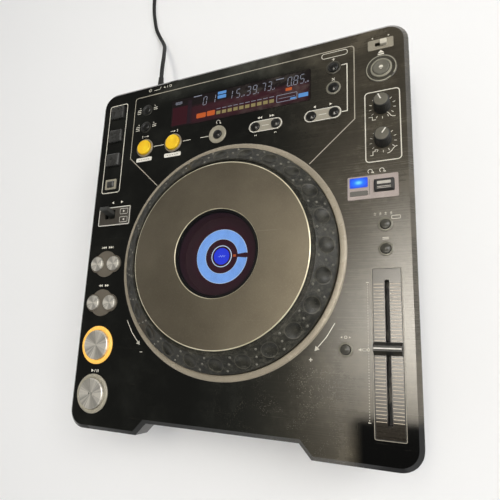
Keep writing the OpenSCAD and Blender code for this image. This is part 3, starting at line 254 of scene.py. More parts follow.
def panelFinish(tones):
    # black gloss, with dust and scratches at the front; the warm haze on the right is a painted reflection of
    # the overhead light mixed with wear, and it stops at a painted dark reflection in the front right corner
    m = Finish("panelGloss")
    # right: brighter towards the right, a painted reflection of the overhead light
    right = m.grown(m.x, 0.02, 0.135) * (1.0 - 0.42 * m.grown(m.y, 0.02, 0.10))
    hairs = m.grown(m.noise(55.0, 4.0, (0.35, 28.0, 1.0), 0.7), 0.40, 0.80)
    smears = m.grown(m.noise(26.0, 5.0, (1.0, 1.0, 1.0), 0.65), 0.42, 0.80)
    fine = m.noise(420.0, 4.0, (1.0, 1.0, 1.0), 0.7)
    cloud = m.noise(14.0, 4.0)
    # edge and corner: the front right corner is kept dark, a painted dark reflection
    edge = m.grown(m.y + (cloud - 0.5) * 0.006, -0.156, -0.144)
    corner = 1.0 - (1.0 - edge) * m.grown(m.x, 0.104, 0.120)
    front = m.grown(m.x, -0.03, 0.05) * (1.0 - m.grown(m.y, -0.125, -0.07))
    top = m.grown(m.y, 0.04, 0.13) * m.grown(m.x, -0.01, 0.06)
    rear = m.grown(m.y, 0.146, 0.160) * m.grown(m.x, -0.10, -0.05)
    awayX, awayY = m.x - tones["wornPatch"][0], m.y - tones["wornPatch"][1]
    patch = 1.0 - m.grown((awayX * awayX + awayY * awayY) ** 0.5 + (cloud - 0.5) * 0.03, 0.008, 0.024)
    dust = m.specks(900.0, 0.30) * m.grown(m.noise(60.0), 0.44, 0.64) * front * corner
    dust = m.maths("MINIMUM", dust + m.specks(620.0, 0.36) * m.grown(m.noise(240.0), 0.42, 0.60) * patch, 1.0)
    scratch = m.grown(m.noise(260.0, 2.0, (0.10, 5.0, 1.0)), 0.69, 0.74)
    swirl = m.grown(m.noise(300.0, 2.0, (4.0, 0.2, 1.0)), 0.68, 0.74) * front
    # haze: the painted reflection on the right, plus a film of dust and smears over the panel, more at the
    # front and rear
    haze = right * (0.30 + 0.34 * hairs + 0.26 * smears + 0.2 * fine) * corner
    haze = haze + (0.045 + 0.07 * smears + front * (0.09 + 0.34 * smears * fine)) * corner
    haze = haze + top * 0.3 * smears * fine + rear * (0.14 + 0.30 * smears)
    # the film's colour, warmer towards the right, tints both the painted reflection and the dust
    filmAndSheen = m.mix(m.grown(m.x, 0.0, 0.12), tones["hazeAndSheenLeft"], tones["hazeAndSheenRight"])
    colour = m.mix(haze, tones["black"], filmAndSheen)
    wear = m.maths("MINIMUM", dust * 0.35 + (scratch + swirl) * 0.16 * (0.15 + haze), 1.0)
    colour = m.mix(wear, colour, tones["wear"])
    bump = m.bump(m.noise(900.0, 2.0) * 0.35 + scratch, 0.05, 0.0001)
    hazy = corner * m.grown(m.x, 0.03, 0.11)
    return m.shade(colour, 0.07 + hazy * (0.15 + 0.10 * haze) + 0.25 * dust, specular=0.5, normal=bump,
                   coat=hazy * (0.7 + 0.3 * hairs), coatRoughness=0.20)


def mouldedFinish(name, colour, grain=1400.0, roughness=0.5, depth=0.25):
    # grained plastic
    m = Finish(name)
    cloud = m.noise(24.0, 4.0)
    fine = m.noise(grain, 2.0)
    dark = tuple(c * 0.72 for c in colour)
    light = tuple(min(1.0, c * 1.25 + 0.004) for c in colour)
    tone = m.mix(m.grown(cloud, 0.3, 0.7), dark, light)
    bump = m.bump(fine, depth, 0.00012)
    return m.shade(tone, roughness - 0.08 + 0.2 * cloud, normal=bump, specular=0.5)


def paintFinish(name, colour, roughness=0.36, wear=0.12):
    # speckled paint, rubbed pale in places
    m = Finish(name)
    cloud = m.noise(35.0, 5.0)
    fine = m.noise(2600.0, 1.0)
    rubbed = m.grown(m.noise(160.0, 4.0, (1.0, 1.0, 1.0), 0.7), 0.62, 0.72)
    dark = tuple(c * 0.8 for c in colour)
    pale = tuple(min(1.0, c * 1.5 + 0.03) for c in colour)
    tone = m.mix(m.grown(cloud, 0.3, 0.72), dark, colour)
    tone = m.mix(rubbed * wear, tone, pale)
    tone = m.mix(m.grown(m.noise(1200.0, 2.0), 0.45, 0.70) * 0.34, tone, dark)
    tone = m.mix(m.grown(fine, 0.52, 0.66) * 0.25, tone, pale)
    bump = m.bump(fine * 0.6 + cloud * 0.3, 0.12, 0.0001)
    return m.shade(tone, roughness + 0.16 * cloud - 0.08, metallic=0.1, normal=bump)


sliderTones = {"dark": (0.018, 0.015, 0.011), "light": (0.036, 0.030, 0.023), "dust": (0.10, 0.088, 0.068)}


def sliderFinish(tones):
    # dark gloss paint under a fine haze
    m = Finish("sliderPaint")
    fine = m.noise(700.0, 3.0)
    hairs = m.noise(80.0, 4.0, (0.3, 14.0, 1.0), 0.7)
    tone = m.mix(m.grown(hairs, 0.35, 0.7), tones["dark"], tones["light"])
    tone = m.mix(m.grown(fine, 0.55, 0.7) * 0.25, tone, tones["dust"])
    bump = m.bump(fine, 0.08, 0.0001)
    lit = m.grown(m.y, -0.1535, -0.1455)
    return m.shade(tone, 0.07 + lit * (0.17 + 0.14 * hairs), normal=bump, specular=0.6, coat=lit * 0.6,
                   coatRoughness=0.20)


plateTones = {
    "dark": (0.142, 0.122, 0.088),
    "light": (0.221, 0.192, 0.142),
    "scuff": (0.26, 0.24, 0.19),
    "rim": (0.40, 0.37, 0.28),
    "turned": (0.24, 0.215, 0.165),
    "grain": (0.27, 0.24, 0.175),
    "scratch": (0.34, 0.31, 0.24),
}


def plateFinish(tones):
    # lacquered metal with turned lines, scuffs and a paler band at the rim
    m = Finish("plateMetal")
    low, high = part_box("jog_plate")
    y = m.y - (low.y + high.y) / 2
    radius = (m.x * m.x + y * y) ** 0.5
    grain = m.noise(900.0, 3.0)
    cloud = m.noise(11.0, 5.0, (1.0, 1.0, 1.0), 0.6)
    scuffs = m.grown(m.noise(75.0, 5.0, (1.0, 0.6, 1.0), 0.75), 0.6, 0.8)
    around = m.add("ShaderNodeUVMap", {"uv_map": "turned"}, None, 0)
    u, v = m.split(around)[:2]
    turned = m.add("ShaderNodeTexNoise", None,
                   {"Vector": m.joined(u * 6.0, v * 700.0, 0.0), "Scale": 1.0, "Detail": 3.0})
    scratch = m.grown(m.noise(130.0, 2.0, (0.10, 4.0, 1.0)), 0.70, 0.76)
    rim = m.grown(radius, 0.0825, 0.0838)
    tone = m.mix(m.grown(cloud, 0.25, 0.75), tones["dark"], tones["light"])
    tone = m.mix(scuffs * 0.3, tone, tones["scuff"])
    tone = m.mix(rim * 0.4, tone, tones["rim"])
    tone = m.mix(m.grown(turned, 0.35, 0.7) * 0.22, tone, tones["turned"])
    tone = m.mix(m.grown(m.noise(1300.0, 2.0), 0.50, 0.72) * 0.30, tone, tones["grain"])
    tone = m.mix(scratch * 0.25, tone, tones["scratch"])
    bump = m.bump(grain + turned, 0.10, 0.00008)
    return m.shade(tone, 0.42 + 0.14 * cloud - 0.06 * scuffs, metallic=0.78, normal=bump, specular=0.4)


def edgeHighlightFinish():
    # pale cream paint on the turned edge of the plate, a painted highlight standing for the polished edge's
    # reflection
    m = Finish("plateEdge")
    cloud = m.noise(60.0, 4.0)
    tone = m.mix(m.grown(cloud, 0.35, 0.7), (0.66, 0.60, 0.42), (0.86, 0.80, 0.60))
    return m.shade(tone, 0.22 + 0.15 * cloud, metallic=0.35)


dialTones = {
    "dark": (0.011, 0.011, 0.009),
    "light": (0.029, 0.028, 0.022),
    "grime": (0.112, 0.107, 0.083),
    "streak": (0.12, 0.115, 0.09),
    "lip": (0.16, 0.15, 0.115),
    "hollow": (0.062, 0.060, 0.046),
    "bead": (0.24, 0.235, 0.20),
}


def dialFinish(tones):
    # black and glossy, grimy round the dimples and less so inside them, so that the dimples read darker, a
    # painted shade; paler dimple rims, partly rubbing wear and partly a painted highlight; paler beads
    m = Finish("dialPlastic")
    cloud = m.noise(60.0, 5.0, (1.0, 1.0, 1.0), 0.65)
    grime = m.grown(m.noise(260.0, 6.0, (1.0, 1.0, 1.0), 0.75), 0.46, 0.66)
    streaks = m.grown(m.noise(110.0, 4.0, (1.0, 1.0, 1.0), 0.7), 0.5, 0.72)
    dust = m.specks(1300.0, 0.26) * m.grown(m.noise(150.0), 0.45, 0.6)
    hollow = m.add("ShaderNodeAttribute", {"attribute_name": "dimpleDepth"}, None, "Fac")
    bead = m.add("ShaderNodeAttribute", {"attribute_name": "bead"}, None, "Fac")
    # inside: grime thins in the dimples so that they read darker, a painted shade in the hollows
    inside = m.grown(hollow, 0.0002, 0.0005)
    # lip: paler rims round the dimples, partly rubbing wear and partly a painted highlight
    lip = m.grown(hollow, 0.00004, 0.00016) * (1.0 - m.grown(hollow, 0.00022, 0.0004))
    tone = m.mix(m.grown(cloud, 0.32, 0.68), tones["dark"], tones["light"])
    tone = m.mix(grime * 0.5 * (1.0 - inside * 0.6), tone, tones["grime"])
    tone = m.mix(streaks * 0.2, tone, tones["streak"])
    tone = m.mix(lip * 0.35, tone, tones["lip"])
    tone = m.mix(m.grown(hollow, 0.0012, 0.0019) * 0.3, tone, tones["hollow"])
    tone = m.mix(m.maths("MINIMUM", bead * 0.55 + dust * 0.6, 1.0), tone, tones["bead"])
    bump = m.bump(grime * 0.7 + m.noise(1500.0, 2.0) * 0.5, 0.2, 0.00014)
    return m.shade(tone, 0.26 + 0.2 * cloud + 0.16 * grime, normal=bump, specular=0.35)


def spunFinish(name, colour, roughness=0.2):
    # turned rings, with bright and dark fans round the middle painted in the colour, a painted reflection
    # standing for the sheen of spun metal
    m = Finish(name)
    around = m.add("ShaderNodeUVMap", {"uv_map": "turned"}, None, 0)
    u, v = m.split(around)[:2]
    rings = m.add("ShaderNodeTexNoise", None,
                  {"Vector": m.joined(u * 3.0, v * 90.0, 0.0), "Scale": 1.0, "Detail": 3.0})
    angle = u * (2 * math.pi)
    side, front = m.maths("COSINE", angle), m.maths("SINE", angle)
    # broad and sliver: the angular pattern of the painted fans
    broad = m.maths("COSINE", angle * 2.0 - 0.6) * 0.5 + m.maths("COSINE", angle * 4.0 + 0.9) * 0.5
    sliver = m.add("ShaderNodeTexNoise", None,
                   {"Vector": m.joined(side * 7.0, front * 7.0, 0.0), "Scale": 1.0, "Detail": 3.0})
    paintedFan = m.grown(broad * 0.30 + sliver, 0.25, 0.80)
    worn = m.noise(180.0, 5.0, (1.0, 1.0, 1.0), 0.65)
    dark = tuple(c * 0.45 for c in colour)
    tone = m.mix(paintedFan, dark, colour)
    tone = m.mix(m.grown(rings, 0.45, 0.75) * 0.25, tone, dark)
    tone = m.mix(m.grown(worn, 0.64, 0.74) * 0.3, tone, (0.24, 0.22, 0.19))
    bump = m.bump(rings, 0.12, 0.00006)
    return m.shade(tone, roughness + 0.14 * rings, metallic=0.55, anisotropic=0.7, normal=bump)


def keyFinish(name, colour, roughness=0.33):
    # fine satin plastic of keys and knobs
    m = Finish(name)
    cloud = m.noise(120.0, 4.0)
    fine = m.noise(1800.0, 2.0)
    lighter = tuple(min(1.0, c * 1.5 + 0.01) for c in colour)
    tone = m.mix(m.grown(cloud, 0.35, 0.75) * 0.5, colour, lighter)
    bump = m.bump(fine, 0.1, 0.0001)
    return m.shade(tone, roughness + 0.2 * cloud, normal=bump, specular=0.55)


def litFinish(name, colour, glow, strength):
    # a lit lens or figure, a little uneven
    m = Finish(name)
    cloud = m.noise(180.0, 3.0)
    tone = m.mix(cloud, tuple(c * 0.75 for c in colour), colour)
    lit = m.mix(cloud, tuple(c * 0.82 for c in glow), glow)
    return m.shade(tone, 0.3 + 0.15 * cloud, glow=lit, glowStrength=strength)


lampTones = {"glow": (0.004, 0.17, 0.98), "rim": (0.001, 0.045, 0.55), "heart": (0.16, 0.66, 1.0)}
lampHalfDepth = 4.1 * mm


def lampFinish(name, node, tones):
    # a lit lens, brightest in its middle
    m = Finish(name)
    low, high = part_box(node)
    x, y = m.x - (low.x + high.x) / 2, m.y - (high.y - lampHalfDepth)
    away = (x * x * 0.36 + y * y) ** 0.5
    cloud = m.noise(300.0, 2.0)
    heart = 1.0 - m.grown(away, 0.0002, 0.0024)
    rim = m.grown(away, 0.0016, 0.0046)
    tone = m.mix(cloud, (0.004, 0.03, 0.26), (0.006, 0.045, 0.34))
    glow = m.mix(rim, tones["glow"], tones["rim"])
    glow = m.mix(heart, glow, tones["heart"])
    return m.shade(tone, 0.25 + 0.1 * cloud, glow=glow, glowStrength=1.0)


def printFinish(name, colour, wear=0.25):
    # screen print, faded in patches
    m = Finish(name)
    faded = m.grown(m.noise(330.0, 4.0, (1.0, 1.0, 1.0), 0.7), 0.45, 0.75)
    tone = m.mix(faded * wear, colour, tuple(c * 0.45 for c in colour))
    return m.shade(tone, 0.42 + 0.2 * faded)


windowTones = {
    "glass": (0.0045, 0.0025, 0.004),
    "wine": (0.030, 0.0022, 0.008),
    "behind": (0.052, 0.008, 0.018),
    "strip": (0.02, 0.008, 0.018),
    "haze": (0.16, 0.14, 0.12),
}


def windowFinish(tones):
    # smoked glass with a wine coloured field on the left and a dimmer one behind the figures
    m = Finish("windowTint")
    low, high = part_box("display_window")
    x, y = m.x - (low.x + high.x) / 2, m.y - (low.y + high.y) / 2

    def field(left, right, front, back, soft):
        inX = m.grown(x, left - soft, left + soft) * (1.0 - m.grown(x, right - soft, right + soft))
        return inX * m.grown(y, front - soft, front + soft) * (1.0 - m.grown(y, back - soft, back + soft))

    cloud = m.noise(45.0, 4.0)
    haze = m.grown(m.noise(70.0, 5.0, (1.0, 1.6, 1.0), 0.7), 0.42, 0.78) * m.grown(x, -0.05, 0.05)
    tone = m.mix(field(-0.0715, -0.0535, -0.0135, 0.007, 0.0008), tones["glass"], tones["wine"])
    behind = field(-0.049, 0.071, -0.0145, 0.004, 0.003) * (0.35 + 0.5 * cloud)
    tone = m.mix(behind, tone, tones["behind"])
    tone = m.mix(field(-0.0535, -0.049, -0.014, 0.012, 0.001) * 0.6, tone, tones["strip"])
    tone = m.mix(0.05 + haze * 0.36, tone, tones["haze"])
    return m.shade(tone, 0.10 + 0.2 * haze, specular=0.5)


def lensFinish():
    # thin dark glass with smears
    m = Finish("displayLens")
    smear = m.grown(m.noise(60.0, 4.0, (1.0, 0.3, 1.0), 0.7), 0.45, 0.85)
    tone = m.mix(smear, (0.006, 0.002, 0.004), (0.03, 0.018, 0.026))
    return m.shade(tone, 0.05 + 0.12 * smear, specular=0.4, alpha=0.10 + 0.08 * smear)


displayTones = {
    "cup": (0.004, 0.004, 0.004),
    "screen": (0.012, 0.004, 0.007),
    "glowDark": (0.022, 0.0065, 0.011),
    "glowLight": (0.038, 0.011, 0.018),
    "glowWall": (0.020, 0.0105, 0.0125),
}


def displayFinish(tones):
    # black outside and on the rim, a dim wine glow on the screen and the wall round it
    m = Finish("displayCup")
    low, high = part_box("centre_display")
    y = m.y - (low.y + high.y) / 2
    away = (m.x * m.x + y * y) ** 0.5
    screen = (1.0 - m.grown(away, 0.0371, 0.0374)) * (1.0 - m.grown(m.z, high.z - 0.0045, high.z - 0.0015))
    cloud = m.noise(90.0, 3.0)
    rings = m.noise(30.0, 2.0)
    tone = m.mix(screen, tones["cup"], tones["screen"])
    glow = m.mix(m.grown(cloud * 0.5 + rings * 0.5, 0.3, 0.7), tones["glowDark"], tones["glowLight"])
    glow = m.mix(m.grown(away, 0.020, 0.034), glow, tones["glowWall"])
    return m.shade(tone, 0.5 + 0.2 * cloud, glow=m.mix(screen, (0.0, 0.0, 0.0), glow), glowStrength=1.0,
                   specular=0.2)


def sheetFinish(name, colour, roughness=0.38):
    # zinc-coated sheet, brushed and spangled
    m = Finish(name)
    brushed = m.noise(220.0, 4.0, (0.05, 3.0, 3.0))
    spangle = m.add("ShaderNodeTexVoronoi", None, {"Vector": m.place, "Scale": 190.0}, "Color")
    tone = m.mix(brushed, tuple(c * 0.75 for c in colour), colour)
    tone = m.mix(m.maths("MULTIPLY", spangle, 0.25), tone, tuple(min(1.0, c * 1.25) for c in colour))
    return m.shade(tone, roughness + 0.15 * brushed, metallic=0.9)


def boardFinish(name, top):
    # green board with copper traces and solder below its top, cased components above
    m = Finish(name)
    parts = m.grown(m.z, top + 0.0001, top + 0.0003)
    traces = m.grown(m.noise(220.0, 1.0, (1.0, 3.0, 1.0)), 0.49, 0.52)
    green = m.mix(traces, (0.012, 0.070, 0.028), (0.025, 0.125, 0.050))
    lead = m.specks(260.0, 0.22)
    green = m.mix(lead * 0.8, green, (0.55, 0.55, 0.52))
    cased = m.mix(m.grown(m.noise(45.0, 1.0), 0.48, 0.52), (0.02, 0.02, 0.022), (0.16, 0.15, 0.13))
    return m.shade(m.mix(parts, green, cased), 0.35 + 0.2 * parts)


def rubberFinish(name, colour):
    # matt black with dust
    m = Finish(name)
    cloud = m.noise(60.0, 4.0)
    dust = m.grown(m.noise(300.0, 4.0), 0.5, 0.72)
    tone = m.mix(dust * 0.35, colour, tuple(c * 2.2 + 0.02 for c in colour))
    bump = m.bump(m.noise(1100.0, 2.0), 0.3, 0.00015)
    return m.shade(tone, 0.62 + 0.2 * cloud, normal=bump)


# every finish by the name that the pieces use

finishes = {
    "panel": panelFinish(panelTones),
    "shell": mouldedFinish("shellPlastic", (0.020, 0.020, 0.020), 1400.0, 0.22, 0.06),
    "fascia": mouldedFinish("fasciaPlastic", (0.017, 0.017, 0.018), 1400.0, 0.42),
    "trim": paintFinish("warmTrim", (0.37, 0.325, 0.250), 0.26),
    "sliderPlate": sliderFinish(sliderTones),
    "bezel": paintFinish("bezelTaupe", (0.150, 0.132, 0.105), 0.3),
    "greyRing": paintFinish("greyRing", (0.060, 0.056, 0.044), 0.28),
    "paleRing": paintFinish("paleRing", (0.36, 0.345, 0.275), 0.3),
    "slimRing": paintFinish("slimRing", (0.205, 0.195, 0.155), 0.3),
    "tanRing": paintFinish("tanRing", (0.27, 0.225, 0.155), 0.34),
    "plate": plateFinish(plateTones),
    "plateEdge": edgeHighlightFinish(),
    "modePlate": paintFinish("modePlate", (0.41, 0.35, 0.33), 0.32),
    "leverPlate": paintFinish("leverPlate", (0.062, 0.055, 0.045), 0.36),
    "lockPlate": paintFinish("lockPlate", (0.36, 0.33, 0.26), 0.4),
    "pill": paintFinish("pillBeige", (0.40, 0.37, 0.30), 0.38),
    "beige": paintFinish("ringBeige", (0.34, 0.315, 0.245), 0.4),
    "darkRing": paintFinish("ringDark", (0.030, 0.029, 0.025), 0.3),
    "domeKey": keyFinish("keyDome", (0.012, 0.012, 0.011), 0.08),
    "greyDome": keyFinish("keyGreyDome", (0.060, 0.058, 0.048), 0.10),
    "lever": keyFinish("leverBlack", (0.050, 0.051, 0.047), 0.36),
    "darkPrint": printFinish("printDark", (0.012, 0.012, 0.012), 0.1),
    "keyMark": printFinish("keyMark", (0.50, 0.48, 0.43), 0.2),
    "tickLine": printFinish("tickLine", (0.62, 0.53, 0.41), 0.3),
    "displayCup": displayFinish(displayTones),
    "dial": dialFinish(dialTones),
    "silver": spunFinish("spunSilver", (0.95, 0.91, 0.82), 0.26),
    "blackKey": keyFinish("keyBlack", (0.016, 0.016, 0.015)),
    "smokedKey": keyFinish("keySmoked", (0.034, 0.034, 0.032), 0.18),
    "greyKey": keyFinish("keyGrey", (0.125, 0.120, 0.096), 0.3),
    "yellowKey": keyFinish("keyYellow", (0.84, 0.50, 0.006), 0.4),
    "knobTop": keyFinish("knobTop", (0.10, 0.093, 0.072), 0.34),
    "amber": litFinish("ringAmber", (0.80, 0.47, 0.10), (1.0, 0.52, 0.08), 0.55),
    "cream": litFinish("ringCream", (0.42, 0.39, 0.31), (0.6, 0.5, 0.3), 0.0),
    "blueLamp": lampFinish("lampBlue", "mode_lamps", lampTones),
    "greyLamp": paintFinish("lampOff", (0.13, 0.125, 0.112)),
    "print": printFinish("printWhite", (0.74, 0.71, 0.62), 0.18),
    "tag": printFinish("printTag", (0.74, 0.72, 0.66), 0.12),
    "fineLine": printFinish("fineLine", (0.40, 0.37, 0.30)),
    "window": windowFinish(windowTones),
    "lens": lensFinish(),
    "segments": litFinish("segmentLight", (0.05, 0.05, 0.06), (0.34, 0.36, 0.44), 0.62),
    "bars": litFinish("barLight", (0.05, 0.05, 0.03), (0.42, 0.33, 0.12), 0.5),
    "orange": litFinish("orangeLight", (0.06, 0.02, 0.01), (0.62, 0.11, 0.015), 0.75),
    "blueTag": litFinish("blueTagLight", (0.02, 0.04, 0.08), (0.12, 0.36, 0.80), 0.7),
    "displayRing": litFinish("displayRingLight", (0.10, 0.20, 0.42), (0.20, 0.42, 0.95), 0.8),
    "displayCore": litFinish("displayCoreLight", (0.01, 0.02, 0.20), (0.02, 0.05, 0.95), 0.8),
    "displayPale": litFinish("displayPaleLight", (0.3, 0.35, 0.4), (0.55, 0.72, 0.95), 0.8),
    "lead": rubberFinish("leadPvc", (0.012, 0.012, 0.012)),
    "tie": rubberFinish("tieNylon", (0.03, 0.03, 0.03)),
    "rubber": rubberFinish("footRubber", (0.022, 0.022, 0.022)),
    "tray": sheetFinish("traySteel", (0.42, 0.43, 0.44)),
    "mech": sheetFinish("mechSteel", (0.50, 0.50, 0.51)),
    "screw": sheetFinish("screwBlack", (0.06, 0.06, 0.06), 0.35),
    "socket": mouldedFinish("socketBlack", (0.016, 0.016, 0.016), 1800.0, 0.4),
    "pan": mouldedFinish("panPlastic", (0.035, 0.035, 0.034)),
    "hub": mouldedFinish("hubPlastic", (0.045, 0.045, 0.047)),
    "panelBoard": boardFinish("panelBoard", 0.0696),
    "innerBoard": boardFinish("innerBoard", 0.0156),
    "lock": keyFinish("lockWhite", (0.52, 0.49, 0.41), 0.4),
}
print("materials ready", len(finishes))


# the stage

stageValues = {
    "floorColour": (0.82, 0.826, 0.838),
    "floorSize": 9.0,
    "floorLift": 0.10,
    "skyStrength": 0.35,
    "backdrop": 0.89,
    "ceiling": 0.06,
}


def makeStage(values):
    half = values["floorSize"] / 2
    mesh = bpy.data.meshes.new("studioFloor")
    corners = [(-half, -half, 0), (half, -half, 0), (half, half, 0), (-half, half, 0)]
    mesh.from_pydata(corners, [], [(0, 1, 2, 3)])
    floor = addObject("studioFloor", mesh)
    m = Finish("studioFloor")
    colour = values["floorColour"]
    tone = m.mix(m.noise(3.0, 2.0) * 0.2, colour, tuple(c * 0.985 for c in colour))
    seen = m.add("ShaderNodeLightPath", None, None, "Is Camera Ray")
    lift = m.mix(seen, (0.0, 0.0, 0.0), (values["floorLift"],) * 3)
    mesh.materials.append(m.shade(tone, 0.85, specular=0.1, glow=lift, glowStrength=1.0))
    # a pale backdrop all round, which metal and glass show as well, under a dark ceiling
    world = bpy.data.worlds.new("studioWorld")
    bpy.context.scene.world = world
    world.use_nodes = True
    tree = NodeTree(world.node_tree)
    tree.nodes.clear()
    path = tree.nodes.new("ShaderNodeLightPath")
    camera, glossy, through = [NodeValue(tree, path.outputs[name])
                               for name in ("Is Camera Ray", "Is Glossy Ray", "Is Transmission Ray")]
    seen = tree.maths("MAXIMUM", tree.maths("MAXIMUM", camera, glossy), through)
    direction = tree.add("ShaderNodeTexCoord", None, None, "Generated")
    height = tree.split(direction)[2]
    above = tree.add("ShaderNodeMapRange", {"interpolation_type": "SMOOTHSTEP", "clamp": True},
                     {"Value": height, "From Min": 0.15, "From Max": 0.5, "To Min": 0.0, "To Max": 1.0})
    shown = values["backdrop"] + above * (values["ceiling"] - values["backdrop"])
    strength = values["skyStrength"] + seen * (shown - values["skyStrength"])
    shader = tree.add("ShaderNodeBackground", None, {"Color": (1.0, 1.0, 1.0), "Strength": strength})
    out = tree.nodes.new("ShaderNodeOutputWorld")
    tree.links.new(shader.socket, out.inputs[0])


lampValues = {
    "softLamp": {"place": (2.0, 0.7, 2.4), "aim": (0.0, 0.0, 0.0), "size": (1.6, 1.8), "power": 50.0,
                 "tint": (1.0, 0.99, 0.97)},
    "sideLamp": {"place": (1.25, -0.45, 0.8), "aim": (0.0, 0.0, 0.0), "size": (0.6, 0.6), "power": 2.0,
                 "tint": (1.0, 0.99, 0.97)},
}

# lamps overhead, each of nested panes from an outer to an inner rectangle, so that its edges are soft
paneValues = {
    "keyPane": {"outer": (0.049, -0.276, 0.221, 0.450), "inner": (0.063, -0.113, 0.221, 0.114),
                "panes": 4, "brightness": 14.5},
    "haloPane": {"outer": (-0.164, -0.281, 0.049, 0.223), "inner": (-0.046, -0.059, 0.049, 0.123),
                 "panes": 4, "brightness": 4.0},
}
paneHeight = 1.3
paneTint = (1.0, 0.94, 0.83)


def makeLamp(name, place, aim, size, power, tint):
    data = bpy.data.lights.new(name, "AREA")
    data.shape = "RECTANGLE"
    data.size, data.size_y = size
    data.energy = power
    data.color = tint
    lamp = addObject(name, data)
    lamp.location = place
    way = Vector(aim) - Vector(place)
    lamp.rotation_euler = way.to_track_quat("-Z", "Y").to_euler()


def makePanes(name, outer, inner, panes, brightness):
    for i in range(panes):
        share = i / (panes - 1)
        x0, y0, x1, y1 = [a + (b - a) * share for a, b in zip(outer, inner)]
        centre = ((x0 + x1) / 2, (y0 + y1) / 2)
        makeLamp(f"{name}{i + 1}", (*centre, paneHeight + 0.01 * i), (*centre, 0.0), (x1 - x0, y1 - y0),
                 brightness * (x1 - x0) * (y1 - y0), paneTint)


makeStage(stageValues)
for name, values in lampValues.items():
    makeLamp(name, **values)
for name, values in paneValues.items():
    makePanes(name, **values)
bpy.context.scene.view_settings.view_transform = "Standard"
print("stage ready")


# meshes

def newPiece(name, work, finish, body, slot, replaced=(), sharp=32.0):
    # a finished mesh object from a bmesh, smooth but for edges over the sharp angle
    limit = math.radians(sharp)
    work.normal_update()
    for face in work.faces:
        face.smooth = True
    for edge in work.edges:
        edge.smooth = not (len(edge.link_faces) != 2 or edge.calc_face_angle(0.0) > limit)
    mesh = bpy.data.meshes.new(name)
    work.to_mesh(mesh)
    work.free()
    for one in finish if isinstance(finish, (list, tuple)) else [finish]:
        mesh.materials.append(finishes[one])
    piece = addObject(name, mesh)
    return placed(piece, body, slot, replaced)


def placed(piece, body, slot, replaced=()):
    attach(piece, body)
    if replaced:
        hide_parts(*replaced)
    return piece


def merged(node):
    # the CAD node's surface with its loose triangles joined into one mesh
    work = bmesh.new()
    work.from_mesh(cadNodes[node].data)
    for layer in list(work.loops.layers.uv.values()):
        work.loops.layers.uv.remove(layer)
    bmesh.ops.remove_doubles(work, verts=work.verts, dist=2e-6)
    flat = math.radians(0.3)
    bmesh.ops.dissolve_limit(work, angle_limit=flat, verts=work.verts, edges=work.edges)
    plain = bmesh.new()
    copies = {v: plain.verts.new(v.co) for v in work.verts}
    for face in work.faces:
        plain.faces.new([copies[v] for v in face.verts])
    work.free()
    return plain


def rounded(work, width, angle=35.0):
    # every edge over the angle turned into a small curve
    limit = math.radians(angle)
    edges = [e for e in work.edges if len(e.link_faces) == 2 and e.calc_face_angle(0.0) > limit]
    if edges:
        bmesh.ops.bevel(work, geom=edges, offset=width, segments=2, profile=0.6, affect="EDGES",
                        clamp_overlap=False)


def dressed(node, name, finish, width):
    work = merged(node)
    rounded(work, width)
    return newPiece(name, work, finish, bodyOf[node], slotOf[node], [node])


def repaint(node, finish):
    data = cadNodes[node].data
    data.materials.clear()
    data.materials.append(finishes[finish])


def arc(centre, radius, first, last, steps):
    angles = [math.radians(first + (last - first) * i / steps) for i in range(steps + 1)]
    return [(centre[0] + radius * math.cos(a), centre[1] + radius * math.sin(a)) for a in angles]


def roundedOutline(centre, width, depth, radius, steps=5):
    points = []
    for corner, (sx, sy) in enumerate(((1, 1), (-1, 1), (-1, -1), (1, -1))):
        hub = (centre[0] + sx * (width / 2 - radius), centre[1] + sy * (depth / 2 - radius))
        points += arc(hub, radius, 90 * corner, 90 * corner + 90, steps)
    return points


print("mesh tools ready")


# the mains lead, with its plugs

leadValues = {
    "diameter": 4.8 * mm,
    "length": 1.85,
    "coilCentre": (-0.1306, 0.432),
    "coilRadius": 0.0388,
    "coilTurn": 2960.0,
    "turnPitch": 4.8 * mm,
    "turnPoints": 20,
    "turnBend": 40.0,
    "climb": 60.0,
    "floorGap": 0.04 * mm,
    "tieWidth": 4.0 * mm,
    "tieMiddle": 29.6,
    "tieOutside": (25.0, 0.3, 2.6),
    "tieInside": (23.4, -0.7, 2.0),
}

leadRoute = [
    (-0.116, 0.2158, 0.044), (-0.116, 0.226, 0.044), (-0.117, 0.238, 0.042), (-0.120, 0.251, 0.037),
    (-0.125, 0.264, 0.030), (-0.131, 0.277, 0.0215), (-0.138, 0.290, 0.013), (-0.146, 0.303, 0.0065),
    (-0.154, 0.316, 0.003), (-0.161, 0.330, 0.0024), (-0.165, 0.345, 0.0024), (-0.168, 0.361, 0.0024),
    (-0.1694, 0.378, 0.0024), (-0.1694, 0.396, 0.0024), (-0.1694, 0.412, 0.0024), (-0.1694, 0.424, 0.0024),
]
tailRoute = [
    (-0.125, 0.472, 0.0071), (-0.113, 0.4724, 0.0054), (-0.101, 0.4706, 0.0034), (-0.090, 0.4655, 0.0026),
    (-0.0805, 0.4575, 0.0032), (-0.0735, 0.4475, 0.005), (-0.0698, 0.4365, 0.0066), (-0.069, 0.425, 0.007),
]


